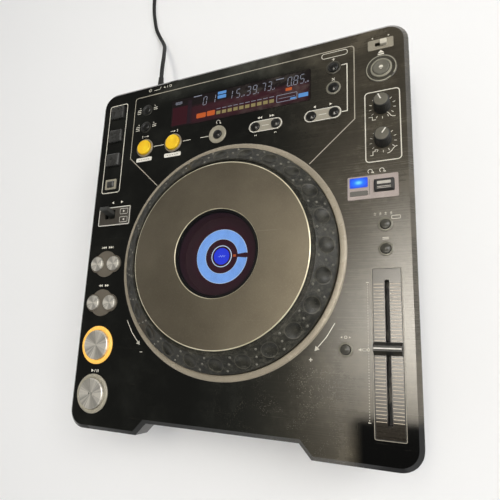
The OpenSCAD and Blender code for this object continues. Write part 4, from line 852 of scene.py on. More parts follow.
def coilPoints(values):
    # one flat winding inwards, a climb at the middle, and a second winding outwards on top of it
    points = []
    middle = values["coilTurn"] / 2
    steps = round(values["coilTurn"] / 360 * values["turnPoints"])
    for i in range(steps + 1):
        turn = values["coilTurn"] * i / steps
        away = math.hypot(turn - middle, values["turnBend"])
        radius = values["coilRadius"] - values["turnPitch"] * (middle - away) / 360
        share = min(1.0, max(0.0, (turn - middle + values["climb"]) / (2 * values["climb"])))
        height = values["diameter"] * (0.5 + share * share * (3 - 2 * share)) + values["floorGap"]
        angle = math.radians(180.0 - turn)
        points.append((values["coilCentre"][0] + radius * math.cos(angle),
                       values["coilCentre"][1] + radius * math.sin(angle), height))
    return points


def makeLead(values):
    points = leadRoute + coilPoints(values) + tailRoute
    curve = bpy.data.curves.new("mainsLead", "CURVE")
    curve.dimensions = "3D"
    curve.bevel_depth = values["diameter"] / 2
    curve.bevel_resolution = 3
    curve.resolution_u = 5
    curve.use_fill_caps = True
    spline = curve.splines.new("BEZIER")
    spline.bezier_points.add(len(points) - 1)
    for knot, point in zip(spline.bezier_points, points):
        knot.co = point
        knot.handle_left_type = "AUTO"
        knot.handle_right_type = "AUTO"
    curve.materials.append(finishes["lead"])
    lead = addObject("mainsLead", curve)
    return placed(lead, "cabinet", "lead_pvc", ["mains_lead", "lead_coil"])


def makeTie(name, turn, values):
    # a flat band round all the windings, from an outline's length, spare height and corner
    across = Vector((math.cos(math.radians(turn)), math.sin(math.radians(turn)), 0))
    along = Vector((-across.y, across.x, 0))
    hub = Vector((*values["coilCentre"], 0))
    height = values["diameter"] * 2 / mm
    outer, inner = [roundedOutline((values["tieMiddle"], height / 2 + 0.2), long, height + spare, corner)
                    for long, spare, corner in (values["tieOutside"], values["tieInside"])]
    work = bmesh.new()
    loops = []
    for outline, side in ((outer, -1), (outer, 1), (inner, 1), (inner, -1)):
        loops.append([work.verts.new(hub + across * x * mm + along * side * values["tieWidth"] / 2
                                     + Vector((0, 0, z * mm))) for x, z in outline])
    for k in range(4):
        first, second = loops[k], loops[(k + 1) % 4]
        for i in range(len(first)):
            j = (i + 1) % len(first)
            work.faces.new((first[i], first[j], second[j], second[i]))
    bmesh.ops.recalc_face_normals(work, faces=work.faces)
    return newPiece(name, work, "tie", "cabinet", "lead_pvc")


lead = makeLead(leadValues)
ties = [makeTie("leadTie", 225.0, leadValues), makeTie("leadTieRight", 315.0, leadValues)]
inletPlug = dressed("inlet_plug", "inletPlug", "lead", 0.5 * mm)
wallPlug = dressed("wall_plug", "wallPlug", "lead", 0.5 * mm)
print("lead ready")


# places and sizes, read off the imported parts

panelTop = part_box("top_panel")[1].z


def middle(node):
    low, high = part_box(node)
    return (low + high) / 2


def halfWidth(node):
    low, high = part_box(node)
    return (high.x - low.x) / 2


def at(node, dx=0.0, dy=0.0):
    # a place beside a part's middle, in millimetres
    centre = middle(node) / mm
    return (centre.x + dx, centre.y + dy)


# turned solids

def softened(profile, radius, steps=3):
    # the profile with its corners turned into small curves
    points = [Vector(p) for p in profile]
    result = [points[0]]
    for before, corner, after in zip(points, points[1:], points[2:]):
        back = before - corner
        ahead = after - corner
        if back.length < 1e-7 or ahead.length < 1e-7 or back.angle(ahead) > 2.95:
            result.append(corner)
            continue
        start = corner + back.normalized() * min(radius, back.length * 0.45)
        end = corner + ahead.normalized() * min(radius, ahead.length * 0.45)
        for i in range(steps + 1):
            t = i / steps
            result.append(start * (1 - t) ** 2 + corner * 2 * t * (1 - t) + end * t * t)
    result.append(points[-1])
    return result


turnedScale = 0.1        # how far the turned pattern runs on for each millimetre outwards


def lathe(work, centre, profile, count=64, closed=False, finishAt=None, share=None):
    # rings round an upright axis, from the foot up the outside; a point on the axis becomes a pole
    turned = work.loops.layers.uv.get("turned") or work.loops.layers.uv.new("turned")
    layer = work.verts.layers.float.get("share") or work.verts.layers.float.new("share")
    rings = []
    for row, (radius, height) in enumerate(profile):
        ring = []
        for i in range(count if radius > 1e-7 else 1):
            angle = 2 * math.pi * i / count
            ring.append(work.verts.new((centre[0] + radius * math.cos(angle),
                                        centre[1] + radius * math.sin(angle), height)))
            ring[-1][layer] = share(radius, height) if share else 0.0
        rings.append(ring)
    joins = [(k, k + 1) for k in range(len(rings) - 1)] + ([(len(rings) - 1, 0)] if closed else [])
    for first, second in joins:
        low, high = rings[first], rings[second]
        if len(low) == 1 and len(high) == 1:
            continue
        for i in range(count):
            j = (i + 1) % count
            corners = [(low, i, first), (low, j, first), (high, j, second), (high, i, second)]
            if len(low) == 1:
                corners = corners[1:]
            elif len(high) == 1:
                corners = corners[:3]
            face = work.faces.new([ring[k % len(ring)] for ring, k, row in corners])
            face.material_index = finishAt(profile[first], profile[second]) if finishAt else 0
            for loop, (ring, k, row) in zip(face.loops, corners):
                column = i + 1 if k == j and k != i else i
                loop[turned].uv = (column / count, profile[row][0] / mm * turnedScale)


# flat marks

class Marks:
    # thin solid marks on one level, given in millimetres

    def __init__(self, level, rise=0.03, sink=0.02):
        self.work = bmesh.new()
        self.low = level - sink * mm
        self.high = level + rise * mm

    def area(self, outline, finish=0):
        floor = [self.work.verts.new((x * mm, y * mm, self.low)) for x, y in outline]
        roof = [self.work.verts.new((x * mm, y * mm, self.high)) for x, y in outline]
        faces = [self.work.faces.new(roof), self.work.faces.new(floor[::-1])]
        for i in range(len(outline)):
            j = (i + 1) % len(outline)
            faces.append(self.work.faces.new((floor[i], floor[j], roof[j], roof[i])))
        for face in faces:
            face.material_index = finish

    def line(self, path, width=0.6, closed=False, finish=0):
        points = [Vector(p) for p in path]
        rows = []
        for i, point in enumerate(points):
            before = points[i - 1] if closed or i else None
            after = points[(i + 1) % len(points)] if closed or i < len(points) - 1 else None
            ahead = ((after if after else point) - (point if after else before)).normalized()
            behind = ((point if before else after) - (before if before else point)).normalized()
            along = (ahead + behind).normalized()
            side = Vector((-along.y, along.x)) * (width / 2 / max(0.5, along.dot(ahead)))
            corners = ((1, self.high), (-1, self.high), (-1, self.low), (1, self.low))
            rows.append([self.work.verts.new((*((point + side * s) * mm), z)) for s, z in corners])
        faces = []
        for first, second in list(zip(rows, rows[1:])) + ([(rows[-1], rows[0])] if closed else []):
            for k in range(4):
                m = (k + 1) % 4
                faces.append(self.work.faces.new((first[k], first[m], second[m], second[k])))
        if not closed:
            faces += [self.work.faces.new(rows[0][::-1]), self.work.faces.new(rows[-1])]
        for face in faces:
            face.material_index = finish

    def disc(self, centre, radius, finish=0, count=24):
        self.area(arc(centre, radius, 0, 360 - 360 / count, count - 1), finish)

    def ring(self, centre, radius, width=0.5, finish=0, count=40):
        self.line(arc(centre, radius, 0, 360 - 360 / count, count - 1), width, True, finish)

    def arrow(self, tip, turn, size=1.6, finish=0):
        ways = [(0.0, 0.0), (-1.0, 0.55), (-1.0, -0.55)]
        c, s = math.cos(math.radians(turn)), math.sin(math.radians(turn))
        outline = [(tip[0] + size * (a * c - b * s), tip[1] + size * (a * s + b * c)) for a, b in ways]
        self.area(outline, finish)

    def bar(self, centre, width, depth, finish=0, corner=0.0):
        if corner:
            self.area(roundedOutline(centre, width, depth, corner), finish)
            return
        x, y, w, d = *centre, width / 2, depth / 2
        self.area([(x - w, y - d), (x + w, y - d), (x + w, y + d), (x - w, y + d)], finish)

    def made(self, name, finish, body, slot):
        return newPiece(name, self.work, finish, body, slot)


# geometry trees

class PartTree(NodeTree):
    # a geometry tree with named sizes, run once on a piece and turned into its plain mesh

    def __init__(self, name):
        self.group = bpy.data.node_groups.new(name, "GeometryNodeTree")
        super().__init__(self.group)
        self.group.interface.new_socket("Geometry", in_out="INPUT", socket_type="NodeSocketGeometry")
        self.group.interface.new_socket("Geometry", in_out="OUTPUT", socket_type="NodeSocketGeometry")
        self.source = self.nodes.new("NodeGroupInput")
        self.identifiers = {}

    def given(self, name, kind="NodeSocketFloat"):
        socket = self.group.interface.new_socket(name, in_out="INPUT", socket_type=kind)
        self.identifiers[name] = socket.identifier
        return NodeValue(self, self.source.outputs[name])

    def geometry(self):
        return NodeValue(self, self.source.outputs["Geometry"])

    def joinedGeometry(self, *parts):
        node = self.nodes.new("GeometryNodeJoinGeometry")
        for part in parts:
            self.links.new(part.socket, node.inputs[0])
        return NodeValue(self, node.outputs[0])

    def finished(self, result):
        realised = self.add("GeometryNodeRealizeInstances", None, {"Geometry": result})
        material = self.given("Finish", "NodeSocketMaterial")
        painted = self.add("GeometryNodeSetMaterial", None, {"Geometry": realised, "Material": material})
        out = self.nodes.new("NodeGroupOutput")
        self.links.new(painted.socket, out.inputs[0])
        return self

    def bake(self, piece, values):
        modifier = piece.modifiers.new(self.group.name, "NODES")
        modifier.node_group = self.group
        for name, value in values.items():
            modifier[self.identifiers[name]] = value
        bpy.context.view_layer.update()
        shown = piece.evaluated_get(bpy.context.evaluated_depsgraph_get())
        mesh = bpy.data.meshes.new_from_object(shown)
        piece.modifiers.clear()
        piece.data = mesh
        return piece


def rowTree():
    # one small block after another along a straight line
    tree = PartTree("rowOfBlocks")
    start = tree.given("Start", "NodeSocketVector")
    step = tree.given("Step", "NodeSocketVector")
    count = tree.given("Count", "NodeSocketInt")
    size = tree.given("Size", "NodeSocketVector")
    spots = tree.add("GeometryNodeMeshLine", {"mode": "OFFSET"},
                     {"Count": count, "Start Location": start, "Offset": step})
    block = tree.add("GeometryNodeMeshCube", None, {"Size": size})
    placed = tree.add("GeometryNodeInstanceOnPoints", None, {"Points": spots, "Instance": block})
    return tree.finished(placed)


def arcTree():
    # small blocks round an arc, each turned outwards
    tree = PartTree("arcOfBlocks")
    centre = tree.given("Centre", "NodeSocketVector")
    radius = tree.given("Radius")
    first = tree.given("First")
    step = tree.given("Step")
    count = tree.given("Count", "NodeSocketInt")
    size = tree.given("Size", "NodeSocketVector")
    index = tree.add("GeometryNodeInputIndex")
    angle = first + index * step
    spot = tree.joined(tree.maths("COSINE", angle) * radius, tree.maths("SINE", angle) * radius, 0.0)
    place = tree.add("ShaderNodeVectorMath", {"operation": "ADD"}, {0: centre, 1: spot})
    points = tree.add("GeometryNodePoints", None, {"Count": count, "Position": place, "Radius": 0.001})
    block = tree.add("GeometryNodeMeshCube", None, {"Size": size})
    turn = tree.joined(0.0, 0.0, angle)
    placed = tree.add("GeometryNodeInstanceOnPoints", None,
                      {"Points": points, "Instance": block, "Rotation": turn})
    return tree.finished(placed)


blockRow = rowTree()
blockArc = arcTree()


def blocks(tree, name, body, slot, values, finish):
    piece = addObject(name, bpy.data.meshes.new(name))
    tree.bake(piece, {**values, "Finish": finishes[finish]})
    return placed(piece, body, slot)


# cabinet

cabinetValues = {"panelEdge": 0.25 * mm, "shellEdge": 0.3 * mm, "windowEdge": 0.1 * mm,
                 "plateEdge": 0.15 * mm}


def makeCabinet(values):
    dressed("top_panel", "topPanel", "panel", values["panelEdge"])
    dressed("body_shell", "bodyShell", "shell", values["shellEdge"])
    dressed("slot_fascia", "slotFascia", "fascia", values["panelEdge"])
    dressed("display_window", "displayWindow", "window", values["windowEdge"])
    dressed("slider_plate", "sliderPlate", "sliderPlate", values["plateEdge"])


def makeControlPlates(values):
    # one mesh for the three plates, told apart by which control stands nearest
    work = merged("control_plates")
    rounded(work, values["plateEdge"])
    controls = [middle(node).xy for node in ("jog_mode_key", "direction_lever", "eject_lock")]
    for face in work.faces:
        place = face.calc_center_median().xy
        face.material_index = min(range(len(controls)), key=lambda i: (controls[i] - place).length)
    newPiece("controlPlates", work, ["modePlate", "leverPlate", "lockPlate"], "cabinet", "warm_trim",
             ["control_plates"])


ringValues = {
    "edge": 0.3 * mm,
    "count": 180,
    "width": 5.8 * mm,
    "footWidth": 3.6 * mm,
    "rise": 0.4 * mm,
    "slope": 1.2 * mm,
    "top": 5.0 * mm,
    "innerRise": 0.6 * mm,
}


def makeTrimRing(values):
    low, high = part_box("jog_trim_ring")
    centre = middle("jog_trim_ring")
    outer = halfWidth("jog_trim_ring")
    inner = outer - values["width"]
    footOuter = outer - values["footWidth"]
    profile = [(inner, low.z), (footOuter, low.z), (footOuter, panelTop), (outer, panelTop),
               (outer, panelTop + values["rise"]), (outer - values["slope"], high.z),
               (outer - values["top"], high.z), (inner, panelTop + values["innerRise"]), (inner, low.z)]
    work = bmesh.new()
    lathe(work, centre, softened(profile, values["edge"])[:-1], values["count"], closed=True)
    newPiece("jogTrimRing", work, "trim", "cabinet", "warm_trim", ["jog_trim_ring"])


makeCabinet(cabinetValues)
makeControlPlates(cabinetValues)
makeTrimRing(ringValues)
print("cabinet ready")


# jog dial: one turned body whose rim is pressed into dimples, with small beads between them

dialValues = {
    "dimples": 24,
    "dimpleRadius": 7.2 * mm,
    "dimpleDepth": 1.9 * mm,
    "rimWidth": 14.1 * mm,
    "lipWidth": 1.3 * mm,
    "beadRadius": 1.2 * mm,
    "beadStep": 5.2 * mm,
    "beadLean": 3.7,
    "beadSink": 0.3,
    "turn": 1.7,
    "columns": 24 * 40,
    "rows": 40,
    "edgeBlend": 0.05 * mm,
    "rimHeight": 4.8 * mm,
    "rimStep": 0.8 * mm,
    "wall": 2.5 * mm,
    "web": 2.5 * mm,
    "groove": 1.8 * mm,
    "plateSeat": 1.0 * mm,
    "tubeWall": 3.0 * mm,
    "sunk": 5.0 * mm,
    "runGap": 0.4 * mm,
}


def dialTree(values, shape):
    tree = PartTree("dimpledRim")
    count = tree.given("Dimples")
    radius = tree.given("Dimple Radius")
    depth = tree.given("Dimple Depth")
    beadRadius = tree.given("Bead Radius")
    beadCount = tree.given("Beads", "NodeSocketInt")
    place = tree.add("GeometryNodeInputPosition")
    x, y = tree.split(place)[:2]
    y = y - shape["centreY"]
    away = (x * x + y * y) ** 0.5
    pitch = 2 * math.pi / count
    turn = tree.maths("ARCTAN2", y, x) - shape["turn"]
    across = ((turn + pitch * 0.5) % pitch - pitch * 0.5) * away
    along = (away - shape["middle"]) / math.cos(shape["slope"])
    nearness = across * across + along * along
    ball = (radius * radius + depth * depth) / (2.0 * depth)
    hollow = tree.maths("MAXIMUM", ball * ball - nearness, 0.0) ** 0.5 - (ball - depth)
    blend = values["edgeBlend"]
    hollow = (hollow + (hollow * hollow + blend * blend) ** 0.5) * 0.5
    onRim = tree.add("GeometryNodeInputNamedAttribute", {"data_type": "FLOAT"}, {"Name": "share"})
    hollow = hollow * onRim
    push = -hollow
    leanX, leanY = x / away * math.sin(shape["slope"]), y / away * math.sin(shape["slope"])
    inward = tree.joined(leanX * push, leanY * push, push * math.cos(shape["slope"]))
    kept = tree.add("GeometryNodeStoreNamedAttribute", {"data_type": "FLOAT", "domain": "POINT"},
                    {"Geometry": tree.geometry(), "Name": "dimpleDepth", "Value": hollow})
    pressed = tree.add("GeometryNodeSetPosition", None, {"Geometry": kept, "Offset": inward})
    # beads in leaning rows of three, half way between the dimples
    index = tree.add("GeometryNodeInputIndex")
    order = index % 3.0 - 1.0
    group = tree.maths("FLOOR", index / 3.0)
    beadTurn = (group + 0.5) * pitch - order * math.radians(values["beadLean"] / 2) + shape["turn"]
    sink = beadRadius * values["beadSink"]
    reach = order * values["beadStep"]
    beadAway = shape["middle"] + reach - sink * math.sin(shape["slope"])
    beadHeight = shape["midHeight"] - reach * math.tan(shape["slope"]) - sink * math.cos(shape["slope"])
    spot = tree.joined(tree.maths("COSINE", beadTurn) * beadAway,
                       tree.maths("SINE", beadTurn) * beadAway + shape["centreY"], beadHeight)
    points = tree.add("GeometryNodePoints", None, {"Count": beadCount, "Position": spot, "Radius": 0.001})
    bead = tree.add("GeometryNodeMeshUVSphere", None, {"Segments": 16, "Rings": 10, "Radius": beadRadius})
    smooth = tree.add("GeometryNodeSetShadeSmooth", None, {"Geometry": bead})
    smooth = tree.add("GeometryNodeStoreNamedAttribute", {"data_type": "FLOAT", "domain": "POINT"},
                      {"Geometry": smooth, "Name": "bead", "Value": 1.0})
    beads = tree.add("GeometryNodeInstanceOnPoints", None, {"Points": points, "Instance": smooth})
    return tree.finished(tree.joinedGeometry(pressed, beads))


def makeDial(values):
    low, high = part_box("jog_dial")
    centre = middle("jog_dial")
    outer = halfWidth("jog_dial")
    slopeOut = outer - values["rimStep"]
    slopeIn = slopeOut - values["rimWidth"]
    slopeHigh = high.z
    rimTop = panelTop + values["rimHeight"]
    slopeLow = rimTop + values["rimStep"]
    rimFoot = panelTop - values["sunk"]
    wallIn = outer - values["wall"]
    lipIn = slopeIn - values["lipWidth"]
    seatIn = halfWidth("jog_plate") - values["plateSeat"]
    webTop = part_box("jog_plate")[0].z
    webLow = webTop - values["web"]
    grooveLow = webTop - values["groove"]
    hollowTop = webLow - values["groove"]
    tubeIn = halfWidth("centre_display") + values["runGap"]
    tubeOut = tubeIn + values["tubeWall"]
    shape = {"centreY": centre.y, "turn": math.radians(values["turn"]), "middle": (slopeIn + slopeOut) / 2,
             "slope": math.atan((slopeHigh - slopeLow) / (slopeOut - slopeIn)),
             "midHeight": (slopeHigh + slopeLow) / 2}
    shares = [i / values["rows"] for i in range(values["rows"] + 1)]
    slope = [(slopeOut + (slopeIn - slopeOut) * share, slopeLow + (slopeHigh - slopeLow) * share)
             for share in shares]
    inner = [(lipIn, slopeHigh), (lipIn, grooveLow), (seatIn, grooveLow), (seatIn, webTop), (tubeIn, webTop),
             (tubeIn, low.z), (tubeOut, low.z), (tubeOut, webLow), (seatIn - 1 * mm, webLow),
             (seatIn - 1 * mm, hollowTop), (slopeIn - 1 * mm, hollowTop),
             (slopeOut - 3 * mm, slopeLow - 2.4 * mm), (wallIn, rimTop - 2 * mm), (wallIn, rimFoot)]
    wall = softened([(wallIn, rimFoot), (outer, rimFoot), (outer, rimTop), slope[0]], 0.4 * mm)[1:-1]
    lip = softened([slope[-2], slope[-1], inner[0], inner[1]], 0.25 * mm, 2)[1:-1]
    profile = wall + slope[:-1] + lip + inner[1:]

    def onSlope(radius, height):
        inside = slopeLow - 1e-6 <= height <= slopeHigh - 0.2 * mm and radius >= slopeIn + 0.2 * mm
        return 1.0 if inside else 0.0

    work = bmesh.new()
    lathe(work, centre, profile, values["columns"], closed=True, share=onSlope)
    dial = newPiece("jogDial", work, "dial", "jog", "dial_plastic")
    inputs = {"Dimples": float(values["dimples"]), "Beads": values["dimples"] * 3,
              "Dimple Radius": values["dimpleRadius"], "Dimple Depth": values["dimpleDepth"],
              "Bead Radius": values["beadRadius"], "Finish": finishes["dial"]}
    dialTree(values, shape).bake(dial, inputs)
    placed(dial, "jog", "dial_plastic", ["jog_dial"])


plateValues = {"count": 240, "edge": 0.5 * mm, "goldEdge": 0.9 * mm, "foot": 0.8 * mm, "innerFlat": 1.4 * mm,
               "runGap": 0.4 * mm, "rounding": 0.12 * mm}


def makePlate(values):
    low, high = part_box("jog_plate")
    centre = middle("jog_plate")
    outer = halfWidth("jog_plate")
    inner = halfWidth("centre_display") + values["runGap"]
    edge, foot = values["edge"], values["foot"]
    goldIn = outer - values["goldEdge"]
    profile = [(inner, low.z), (outer - foot, low.z), (outer, low.z + foot), (outer, high.z - edge),
               (goldIn, high.z), (inner + values["innerFlat"], high.z), (inner + edge, high.z),
               (inner, high.z - edge), (inner, low.z)]

    # top faces at the outer and inner edges take the pale edge paint, a painted highlight
    def edgeHighlightFaces(first, second):
        onTop = (first[1] + second[1]) / 2 > high.z - edge - 0.05 * mm
        radius = (first[0] + second[0]) / 2
        return 1 if onTop and (radius > goldIn or radius < inner + edge + 0.05 * mm) else 0

    work = bmesh.new()
    lathe(work, centre, softened(profile, values["rounding"], 2)[:-1], values["count"], closed=True,
          finishAt=edgeHighlightFaces)
    newPiece("jogPlate", work, ["plate", "plateEdge"], "jog", "plate_metal", ["jog_plate"])


makeDial(dialValues)
makePlate(plateValues)
print("jog ready")


# centre display

displayValues = {
    "wall": 1.6 * mm,
    "lens": 1.2 * mm,
    "shelf": 1.0 * mm,
    "depth": 13.7 * mm,
    "lensGap": 0.1 * mm,
    "ringOuter": 24.6,
    "ringInner": 15.9,
    "gap": 5.5,
    "core": 7.6,
    "coreLine": 9.6,
    "markAt": 12.6,
    "markSize": 2.6,
    "waveStep": 1.2,
    "waveHeight": 0.7,
}


def makeDisplayCup(values):
    low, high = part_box("centre_display")
    centre = middle("centre_display")
    outer = halfWidth("centre_display")
    lensRadius = outer - values["wall"]
    shelf = high.z - values["lens"]
    shelfIn = lensRadius - values["shelf"]
    screen = high.z - values["depth"]
    profile = [(0.0, low.z), (outer, low.z), (outer, high.z), (lensRadius, high.z), (lensRadius, shelf),
               (shelfIn, shelf), (shelfIn, screen), (0.0, screen)]
    work = bmesh.new()
    lathe(work, centre, softened(profile, 0.4 * mm), 120)
    newPiece("displayCup", work, "displayCup", "cabinet", "display_lens", ["centre_display"])
    work = bmesh.new()
    lensLow, lensOut = shelf + values["lensGap"], lensRadius - values["lensGap"]
    lens = [(0.0, lensLow), (lensOut, lensLow), (lensOut, high.z), (0.0, high.z)]
    lathe(work, centre, softened(lens, 0.2 * mm), 120)
    newPiece("displayLens", work, "lens", "cabinet", "display_lens")
    return screen


def makeDisplayFigure(values, screen):
    # a ring with a gap between two fine lines, round a disc with a wave on it
    hub = at("centre_display")
    marks = Marks(screen, 0.25)
    ringOuter, ringInner, gap = values["ringOuter"], values["ringInner"], values["gap"]
    rings = (((ringOuter + ringInner) / 2, gap, 120, ringOuter - ringInner, 0),
             (ringOuter, gap * 0.8, 120, 0.5, 1),
             (ringInner, gap * 1.2, 90, 0.4, 1))
    for radius, start, steps, width, finish in rings:
        marks.line(arc(hub, radius, start, 360 - start, steps), width, finish=finish)
    marks.disc(hub, values["core"], 2, 48)
    marks.ring(hub, values["coreLine"], 0.7, 1, 60)
    x, y = hub
    marks.bar((x + values["markAt"], y), values["markSize"], values["markSize"] * 0.8, 3, 0.4)
    step, height = values["waveStep"], values["waveHeight"]
    marks.line([(x + step * (i - 3), y + height * (-1) ** i) for i in range(7)], 0.5, finish=1)
    finish = ["displayRing", "displayPale", "displayCore", "orange"]
    marks.made("displayFigure", finish, "cabinet", "display_lens")


makeDisplayFigure(displayValues, makeDisplayCup(displayValues))
print("display ready")


# round keys

keyValues = {
    "lip": 1.2 * mm,
    "footRadius": 2.2 * mm,
    "footLength": 5.5 * mm,
    "underPanel": 3.3 * mm,
    "edge": 0.8 * mm,
    "rounding": 0.3 * mm,
    "faceRings": 8,
    "markDepth": 0.98,
}


def roundKey(node, name, finish, dish=0.5, marks=None, chamfer=0.0, count=64, second=None):
    # cap with a rounded edge and a dished or domed face, keeper flange and foot
    low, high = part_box(node)
    centre = middle(node)
    values = keyValues
    flange = halfWidth(node)
    radius = flange - values["lip"]
    foot = values["footRadius"]
    flangeTop = panelTop - values["underPanel"]
    flangeLow = low.z + values["footLength"]
    edge = min(values["edge"], radius / 6)
    top = high.z if dish >= 0 else high.z + dish * mm
    faceRadius = radius - 1.6 * edge
    shares = [i / values["faceRings"] for i in range(values["faceRings"] + 1)]
    face = [(faceRadius * (1 - share), top - dish * mm * math.sin(share * math.pi / 2)) for share in shares]
    outline = [(0.0, low.z), (foot, low.z), (foot, flangeLow), (flange, flangeLow), (flange, flangeTop),
               (radius, flangeTop), (radius, top - edge)]
    if chamfer:
        outline += [(radius - chamfer * mm, top), (radius - chamfer * mm - 0.5 * mm, top)]
    else:
        outline += [(radius - edge, top)]
    work = bmesh.new()
    lathe(work, centre, softened(outline + face[:1], values["rounding"]) + face[1:], count)
    names = [finish]
    if marks:
        sheet = Marks(top - dish * mm * values["markDepth"], 0.05)
        marks(sheet, at(node))
        mesh = bpy.data.meshes.new("capMarks")
        for f in sheet.work.faces:
            f.material_index += 1
        sheet.work.to_mesh(mesh)
        sheet.work.free()
        work.from_mesh(mesh)
        bpy.data.meshes.remove(mesh)
        names.append(second or "print")
    return newPiece(name, work, names, bodyOf[node], slotOf[node], [node])


def playMarks(sheet, hub):
    x, y = hub
    sheet.arrow((x - 0.9, y), 0, 2.0)
    for dx in (0.6, 1.6):
        sheet.bar((x + dx, y), 0.5, 1.9)


def ejectMarks(sheet, hub):
    x, y = hub
    sheet.area([(x - 2.5, y - 0.4), (x + 2.5, y - 0.4), (x, y + 2.5)])
    sheet.bar((x, y - 1.6), 5.0, 1.0)


def pieceName(node):
    # the piece that stands for a node has its name in one word
    first, *others = node.split("_")
    return first + "".join(word.title() for word in others)


def makeRoundKeys():
    roundKey("cue_key", "cueKey", "silver", 0.8, None, 0.9, 96)
    roundKey("play_key", "playKey", "silver", 0.8, playMarks, 0.9, 96, "darkPrint")
    for node in ("search_back_key", "search_forward_key", "track_back_key", "track_forward_key"):
        roundKey(node, pieceName(node), "silver", 0.9, None, 0.5)
    for node in ("loop_in_key", "loop_out_key"):
        roundKey(node, pieceName(node), "yellowKey", 0.5, None, 0.7)
    for node in ("reloop_key", "memory_key", "delete_key", "time_mode_key", "display_mode_key",
                 "wave_back_key", "wave_forward_key", "call_back_key", "call_forward_key"):
        roundKey(node, pieceName(node), "domeKey", -0.7)
    for node in ("tempo_range_key", "master_tempo_key", "tempo_reset_key"):
        roundKey(node, pieceName(node), "greyDome", -0.7)
    roundKey("eject_key", "ejectKey", "greyKey", 0.5, ejectMarks)


makeRoundKeys()
print("round keys ready")


# rings and bezels round the keys

transportValues = {"gap": 0.3 * mm, "outerEdge": 0.8 * mm, "outerSlope": 1.2 * mm, "innerSlope": 1.3 * mm,
                   "innerEdge": 1.0 * mm}


def makeTransportRings(values):
    low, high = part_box("transport_rings")
    for node, name, finish in (("cue_key", "cueRing", "amber"), ("play_key", "playRing", "cream")):
        centre = middle(node)
        inner = halfWidth(node) - keyValues["lip"] + values["gap"]
        outer = (high.x - low.x) / 2
        profile = [(inner, low.z), (outer, low.z), (outer, low.z + values["outerEdge"]),
                   (outer - values["outerSlope"], high.z), (inner + values["innerSlope"], high.z),
                   (inner, low.z + values["innerEdge"]), (inner, low.z)]
        work = bmesh.new()
        lathe(work, centre, softened(profile, 0.3 * mm)[:-1], 96, closed=True)
        replaced = ["transport_rings"] if node == "cue_key" else ()
        newPiece(name, work, finish, "cabinet", "ring_amber", replaced)


bezelValues = {
    "edge": 0.12 * mm,
    "ejectRing": 9.2 * mm,        # the eject key's bezel is paler inside this radius
    "finishes": {
        "bezel": ["search_back_key", "search_forward_key", "track_back_key", "track_forward_key"],
        "pill": ["wave_back_key", "wave_forward_key", "call_back_key", "call_forward_key"],
        "greyRing": ["eject_key", "memory_key"],
        "slimRing": ["tempo_reset_key", "tempo_range_key", "master_tempo_key", "delete_key"],
        "tanRing": ["loop_in_key", "loop_out_key"],
        "beige": ["reloop_key", "record_mode_key"],
        "darkRing": ["time_mode_key", "display_mode_key"],
    },
}


def makeBezels(values):
    # one copy of all the bezels, each given the finish of the keys that it holds
    work = merged("key_bezels")
    rounded(work, values["edge"])
    names = [*values["finishes"], "paleRing"]
    spots = [(middle(node).xy, names.index(name))
             for name, nodes in values["finishes"].items() for node in nodes]
    ejectSpot = middle("eject_key").xy
    for face in work.faces:
        place = face.calc_center_median().xy
        face.material_index = min(spots, key=lambda spot: (spot[0] - place).length)[1]
        if (place - ejectSpot).length < values["ejectRing"]:
            face.material_index = names.index("paleRing")
    newPiece("keyBezels", work, names, "cabinet", "bezel_grey", ["key_bezels"])


makeTransportRings(transportValues)
makeBezels(bezelValues)
print("rings and bezels ready")


# square keys, lamps and slides

squareValues = {
    "hot_cue_1": ("smokedKey", 0.35 * mm),
    "hot_cue_2": ("smokedKey", 0.35 * mm),
    "hot_cue_3": ("smokedKey", 0.35 * mm),
    "record_mode_key": ("smokedKey", 0.2 * mm),
    "jog_mode_key": ("blackKey", 0.3 * mm),
    "power_key": ("blackKey", 0.3 * mm),
    "eject_lock": ("lock", 0.15 * mm),
    "direction_lever": ("lever", 0.3 * mm),
}


def makeSquareKeys(values):
    # each node's finish and rounding
    for node, (finish, edge) in values.items():
        dressed(node, pieceName(node), finish, edge)


modeLampValues = {"edge": 0.2 * mm, "splitAt": -1.5 * mm}


def makeModeLamps(values):
    # the lit lamp behind and the dark one in front
    work = merged("mode_lamps")
    rounded(work, values["edge"])
    split = middle("mode_lamps").y + values["splitAt"]
    for face in work.faces:
        face.material_index = 0 if face.calc_center_median().y > split else 1
    newPiece("modeLamps", work, ["blueLamp", "greyLamp"], "cabinet", "lamp_blue", ["mode_lamps"])


faderValues = {"edge": 0.25 * mm, "line": 0.9, "short": 0.6, "sink": 0.38}


def makeFader(values):
    dressed("fader_cap", "faderCap", "blackKey", values["edge"])
    sheet = Marks(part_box("fader_cap")[1].z, 0.0, values["sink"])
    sheet.bar(at("fader_cap"), 2 * halfWidth("fader_cap") / mm - values["short"], values["line"])
    sheet.made("faderLine", "tag", "fader_cap", "control_black")


makeSquareKeys(squareValues)
makeModeLamps(modeLampValues)
makeFader(faderValues)
print("keys and fader ready")


# rotary knobs

knobValues = {
    "ribs": 28,
    "ribDepth": 0.32 * mm,
    "columns": 28 * 8,
    "lift": 0.6 * mm,
    "shaft": 3.0 * mm,
    "skirt": 1.2 * mm,
    "sideFrom": 1.6 * mm,
    "sideSteps": 6,
    "capDrop": 0.03 * mm,
    "touchTurn": 24.0,
    "releaseTurn": -36.0,
}


